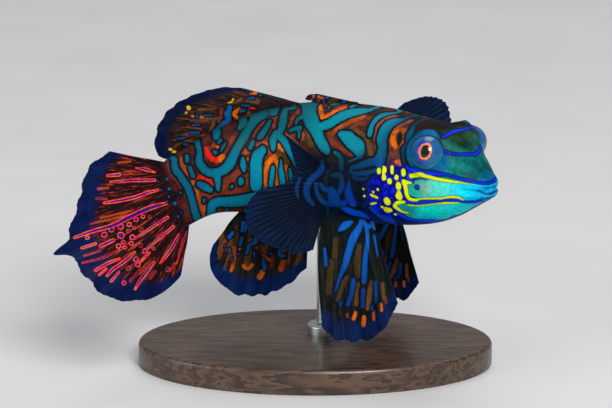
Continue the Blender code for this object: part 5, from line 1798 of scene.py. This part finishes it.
def make_fins() -> List[Fin]:
    """The eight fins, with the solids' sizes."""
    tail_finish = FinFinish(
        "caudal", ground=(0.009, 0.003, 0.005), fibre=(0.40, 0.034, 0.014), margin=(0.001, 0.006, 0.045),
        ray=(0.035, 0.008, 0.012), near=(0.003, 0.11, 0.30), far=(0.002, 0.05, 0.22), margin_start=0.80,
        root=(0.042, 0.009, 0.008),
    )
    dorsal_finish = FinFinish(
        "dorsal", ground=(0.012, 0.007, 0.008), fibre=(0.11, 0.033, 0.014), margin=(0.001, 0.004, 0.026),
        ray=(0.010, 0.006, 0.008), near=(0.002, 0.075, 0.22), far=(0.001, 0.020, 0.12), margin_start=0.80,
        root=(0.020, 0.008, 0.008),
    )
    anal_finish = FinFinish(
        "anal", ground=(0.010, 0.009, 0.010), fibre=(0.035, 0.022, 0.010), margin=(0.001, 0.010, 0.062),
        ray=(0.001, 0.002, 0.006), near=(0.002, 0.12, 0.46), far=(0.002, 0.05, 0.28), margin_start=0.80,
        ray_share=0.75,
    )
    pelvic_finish = FinFinish(
        "pelvic", ground=(0.003, 0.007, 0.006), fibre=(0.026, 0.015, 0.007), margin=(0.001, 0.007, 0.048),
        ray=(0.001, 0.002, 0.005), near=(0.002, 0.09, 0.41), far=(0.001, 0.03, 0.18), margin_start=0.84,
        ray_share=0.75, root=(0.001, 0.005, 0.010),
    )
    pectoral_finish = FinFinish(
        "pectoral", ground=(0.001, 0.003, 0.012), fibre=(0.001, 0.010, 0.036), margin=(0.001, 0.007, 0.036),
        ray=(0.001, 0.020, 0.062), near=(0.001, 0.034, 0.15), far=(0.001, 0.02, 0.08), margin_start=0.93,
        membrane=0.94, ray_share=0.8,
    )
    return [
        TailFin(
            "fin_caudal", 11,
            ((0, 8.5), (0.12, 11.8), (0.3, 14.5), (0.5, 17), (0.7, 16.2), (0.88, 12), (1, 6.6)),
            tail_finish, ripple=0.5, waves=2.5, root_thickness=0.7, columns_per_ray=22, rows=110,
            scallop=0.015, marks=CAUDAL_MARKS,
        ),
        Fin(
            "fin_dorsal_first", 4, ((0, 6.2), (0.5, 4.2), (1, 1.5)), dorsal_finish,
            stations=((0, 20.4), (1, 26.6)), angles=level(90), aft=level(0.97), up=((0, 0.15), (1, 0.25)),
            left=level(0), columns_per_ray=30, rows=50, pleat=0.04, ridge=0.16, marks=FIRST_DORSAL_MARKS,
        ),
        Fin(
            "fin_dorsal_second", 9, ((0, 7.2), (0.15, 8), (0.5, 10), (0.8, 9.8), (0.92, 8.6), (1, 6)),
            dorsal_finish, stations=((0, 28.5), (1, 42)), angles=level(90),
            aft=((0, 0.97), (0.5, 0.94), (1, 1)),
            up=((0, 0.26), (0.2, 0.34), (0.5, 0.29), (0.8, 0.19), (1, -0.13)), left=level(-0.05),
            ripple=0.25, marks=SECOND_DORSAL_MARKS,
        ),
        Fin(
            "fin_anal", 8, ((0, 7), (0.2, 9.6), (0.45, 11.2), (0.7, 11.2), (0.9, 9.2), (1, 5.5)),
            anal_finish, stations=((0, 27.5), (1, 37.5)), angles=level(-90),
            aft=((0, 0.05), (0.5, 0.18), (0.85, 0.42), (1, 0.85)),
            up=((0, -1), (0.5, -0.97), (0.85, -0.85), (1, -0.7)), left=level(0), ripple=0.4,
            marks=ANAL_MARKS,
        ),
        Fin(
            "fin_pelvic_right", 6,
            ((0, 11), (0.2, 14.2), (0.45, 15.9), (0.7, 16.2), (0.9, 15.8), (1, 14.6)), pelvic_finish,
            stations=((0, 17), (1, 25.2)), angles=((0, 243), (1, 231)),
            aft=((0, -0.52), (0.25, -0.34), (0.5, -0.2), (1, -0.06)), up=level(-0.95), left=level(-0.25),
            bow=((0, 0), (0.5, 0.2), (1, 0.6)), ripple=0.5, waves=1.5, columns_per_ray=34, rows=100,
            marks=PELVIC_MARKS,
        ),
        Fin(
            "fin_pelvic_left", 6, ((0, 11), (0.2, 14.2), (0.45, 15.4), (0.7, 14.6), (0.9, 12.6), (1, 10.5)),
            pelvic_finish, stations=((0, 17), (1, 20.5)), angles=((0, -63), (1, -48)),
            aft=((0, -0.1), (0.35, 0.15), (0.7, 0.35), (1, 0.6)), up=level(-0.95), left=level(0.35),
            ripple=0.5, waves=1.5, columns_per_ray=34, rows=100, twin="fin_pelvic_right",
        ),
        Fin(
            "fin_pectoral_right", 28,
            ((0, 7.5), (0.12, 5.4), (0.22, 4.4), (0.29, 4.8), (0.345, 9.2), (0.42, 10.6), (0.55, 11.2),
                (0.8, 8.6), (1, 6.2)),
            pectoral_finish, stations=((0, 23.3), (1, 24.2)), angles=((0, 178), (1, 212)),
            aft=((0, 0.7), (0.3, 1), (0.6, 0.8), (1, 0.2)),
            up=((0, 0.75), (0.2, 0.42), (0.34, -0.08), (0.6, -0.45), (1, -1)), left=((0, -0.5), (1, -0.35)),
            ridge=0.16, pleat=0.04, scallop=0.01, columns_per_ray=10, rows=90,
            marks=Marks(blue=tuple(CHEST_BANDS.values())),
        ),
        Fin(
            "fin_pectoral_left", 28, ((0, 9), (0.12, 12.5), (0.3, 14.8), (0.6, 13.5), (1, 9)),
            pectoral_finish, stations=((0, 23.3), (1, 24.2)), angles=((0, 2), (1, -32)),
            aft=((0, -0.7), (0.3, -0.85), (0.6, -0.95), (1, -0.7)),
            up=((0, 0.66), (0.15, 0.6), (0.3, 0.47), (0.6, 0), (1, -0.6)), left=((0, 0.35), (1, 0.5)),
            ridge=0.16, pleat=0.04, scallop=0.01, columns_per_ray=10, rows=90,
        ),
    ]


@dataclass(frozen=True)
class WoodFinish:
    """Dark oiled walnut with its grain along X."""

    dark: Colour = (0.022, 0.011, 0.007)
    light: Colour = (0.095, 0.050, 0.028)

    def make(self) -> bpy.types.Material:
        """Bands of a stretched noise, with fine pores."""
        paint = Paint("stand_wood", Coat_Weight=0.25, Coat_Roughness=0.15)
        figure = paint.noise(2.2 * MM, 4, paint.place((0.12, 1.0, 1.0)))
        pores = paint.noise(0.22 * MM, 2, paint.place((0.06, 1.0, 1.0)))
        bands = paint.sums("FRACT", paint.times(figure, 7.0))
        colour = paint.over(self.dark, self.light, bands, 0.0, 1.0)
        paint.colour(paint.over(colour, self.dark, pores, 0.62, 0.72, 0.7))
        paint.gloss(paint.between(pores, 0.28, 0.5))
        paint.relief(pores, 0.02 * MM, 0.6)
        return paint.material


@dataclass(frozen=True)
class SteelFinish:
    """Steel brushed round the rod."""

    tone: Colour = (0.60, 0.61, 0.62)

    def make(self) -> bpy.types.Material:
        """Fine rings of noise, stretched round and tight along Z."""
        paint = Paint("stand_steel", Metallic=1.0)
        rings = paint.noise(0.9 * MM, 3, paint.place((0.5, 0.5, 14.0)))
        paint.colour(paint.shaded(self.tone, 0.85, 1.1, rings))
        paint.gloss(paint.between(rings, 0.2, 0.42))
        paint.relief(rings, 0.01 * MM, 0.5)
        return paint.material


@dataclass
class Stand:
    """An oval wooden base and one steel rod, with the solids' sizes and rounder edges."""

    base_edge: float = 0.6 * MM
    rod_radius: float = 1.0 * MM
    collar_radius: float = 2.2 * MM
    collar_height: float = 1.2 * MM
    collar_edge: float = 0.25 * MM
    sides: int = 240

    def turned(self, name: str, profile: Table, place: Array, stretch: float) -> Piece:
        """A profile of (radius, height) carried round Z, stretched along Y, with both ends closed."""
        radius, height = np.array(profile).T
        angle = np.linspace(0, 2 * np.pi, self.sides, endpoint=False)
        x = radius[:, None] * np.cos(angle)
        y = radius[:, None] * np.sin(angle) * stretch
        points = np.stack([x, y, np.repeat(height[:, None], self.sides, 1)], 2).reshape(-1, 3)
        middles = np.array([[0, 0, height[0]], [0, 0, height[-1]]])
        points = np.vstack([points, middles]) + place
        return Piece(name, points, capped_faces(len(profile), self.sides), sharp=40)

    @staticmethod
    def rounded(radius: float, height: float, edge: float, bottom: bool) -> List[Tuple[float, float]]:
        """A quarter round at the top or bottom corner of a turned profile."""
        turn = np.linspace(0, math.pi / 2, 9)
        if bottom:
            return [(radius - edge + edge * math.sin(t), height + edge - edge * math.cos(t)) for t in turn]
        return [(radius - edge + edge * math.cos(t), height - edge + edge * math.sin(t)) for t in turn]

    def build(self) -> None:
        """Makes both pieces where their solids stand."""
        low, high = (np.array(corner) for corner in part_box("stand_base"))
        half, deep = (high - low)[:2] / 2
        middle = np.array([(low[0] + high[0]) / 2, (low[1] + high[1]) / 2, 0])
        thick = high[2] - low[2]
        edge = self.base_edge
        profile = [(half - 2 * edge, 0)] + self.rounded(half, 0, edge / 2, True)
        profile += self.rounded(half, thick, edge, False) + [(half - 4 * edge, thick)]
        self.turned("base", profile, middle + [0, 0, low[2]], deep / half).dress(
            WoodFinish().make(), "stand_wood", "stand_base")
        foot, top = (np.array(corner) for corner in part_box("stand_rod"))
        middle = np.array([(foot[0] + top[0]) / 2, (foot[1] + top[1]) / 2, high[2]])
        tall = top[2] + 2 * GAP - high[2]
        collar, step, small = self.collar_radius, self.collar_height, self.collar_edge
        profile = [(collar, 0)] + self.rounded(collar, step, small, False)
        profile += [(self.rod_radius + small, step), (self.rod_radius, step + small), (self.rod_radius, tall)]
        self.turned("rod", profile, middle, 1.0).dress(SteelFinish().make(), "stand_steel", "stand_rod")


@dataclass
class Studio:
    """A pale floor and soft lights."""

    floor_size: float = 6.0
    floor_colour: Colour = (0.62, 0.62, 0.63)
    world_colour: Colour = (0.66, 0.67, 0.69)
    world_strength: float = 0.42

    def floor(self) -> None:
        """A wide level plane under the stand."""
        half = self.floor_size / 2
        mesh = bpy.data.meshes.new("floor")
        mesh.from_pydata([(-half, -half, 0), (half, -half, 0), (half, half, 0), (-half, half, 0)], [],
                         [(0, 1, 2, 3)])
        item = add_item("floor", mesh)
        paint = Paint("floor_matt", Roughness=0.75)
        paint.colour(paint.shaded(self.floor_colour, 0.97, 1.03, paint.noise(30 * MM, 2)))
        mesh.materials.append(paint.material)

    def light(self, name: str, place: Array, aim: Array, size: float, strength: float, tone: Colour) -> None:
        """Adds a square light.

        Args:
            name: the light's name.
            place: where it hangs.
            aim: what it points at.
            size: its side.
            strength: the brightness that it gives a white surface at the aim.
            tone: its colour.
        """
        data = bpy.data.lights.new(name, "AREA")
        data.size = size
        data.energy = strength * math.pi ** 2 * float(((place - aim) ** 2).sum())
        data.color = tone
        item = add_item(name, data)
        item.location = place
        item.rotation_mode = "QUATERNION"
        item.rotation_quaternion = Vector(unit(place - aim)).to_track_quat("Z", "Y")

    def build(self, aim: Array) -> None:
        """Floor, sky and three soft lights."""
        self.floor()
        world = bpy.data.worlds.new("world")
        world.use_nodes = True
        world.node_tree.nodes["Background"].inputs["Color"].default_value = (*self.world_colour, 1)
        world.node_tree.nodes["Background"].inputs["Strength"].default_value = self.world_strength
        bpy.context.scene.world = world
        bpy.context.scene.view_settings.view_transform = "Standard"
        lights = (
            ("key", (0.20, -0.60, 0.45), 0.30, 0.95, (1.0, 0.98, 0.95)),
            ("fill", (-0.60, -0.30, 0.20), 0.5, 0.32, (0.93, 0.97, 1.0)),
            ("top", (0.10, 0.35, 0.80), 0.5, 0.35, (1.0, 1.0, 1.0)),
        )
        for name, offset, size, strength, tone in lights:
            self.light(name, aim + np.array(offset), aim, size, strength, tone)


def main() -> None:
    """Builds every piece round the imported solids."""
    logging.basicConfig(level=logging.INFO, format="%(name)s: %(message)s")
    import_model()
    form = BodyForm()
    camera = PhotoCamera()
    camera.build(form)
    Skin().build(form, camera)
    Eyes().build(form)
    worn: Dict[str, Dict[str, Array]] = {}
    for fin in make_fins():
        fin.build(form, camera, worn)
    Stand().build()
    Studio().build(camera.aim(form))
    LOG.info("sizes written")


if __name__ == "__main__":
    main()
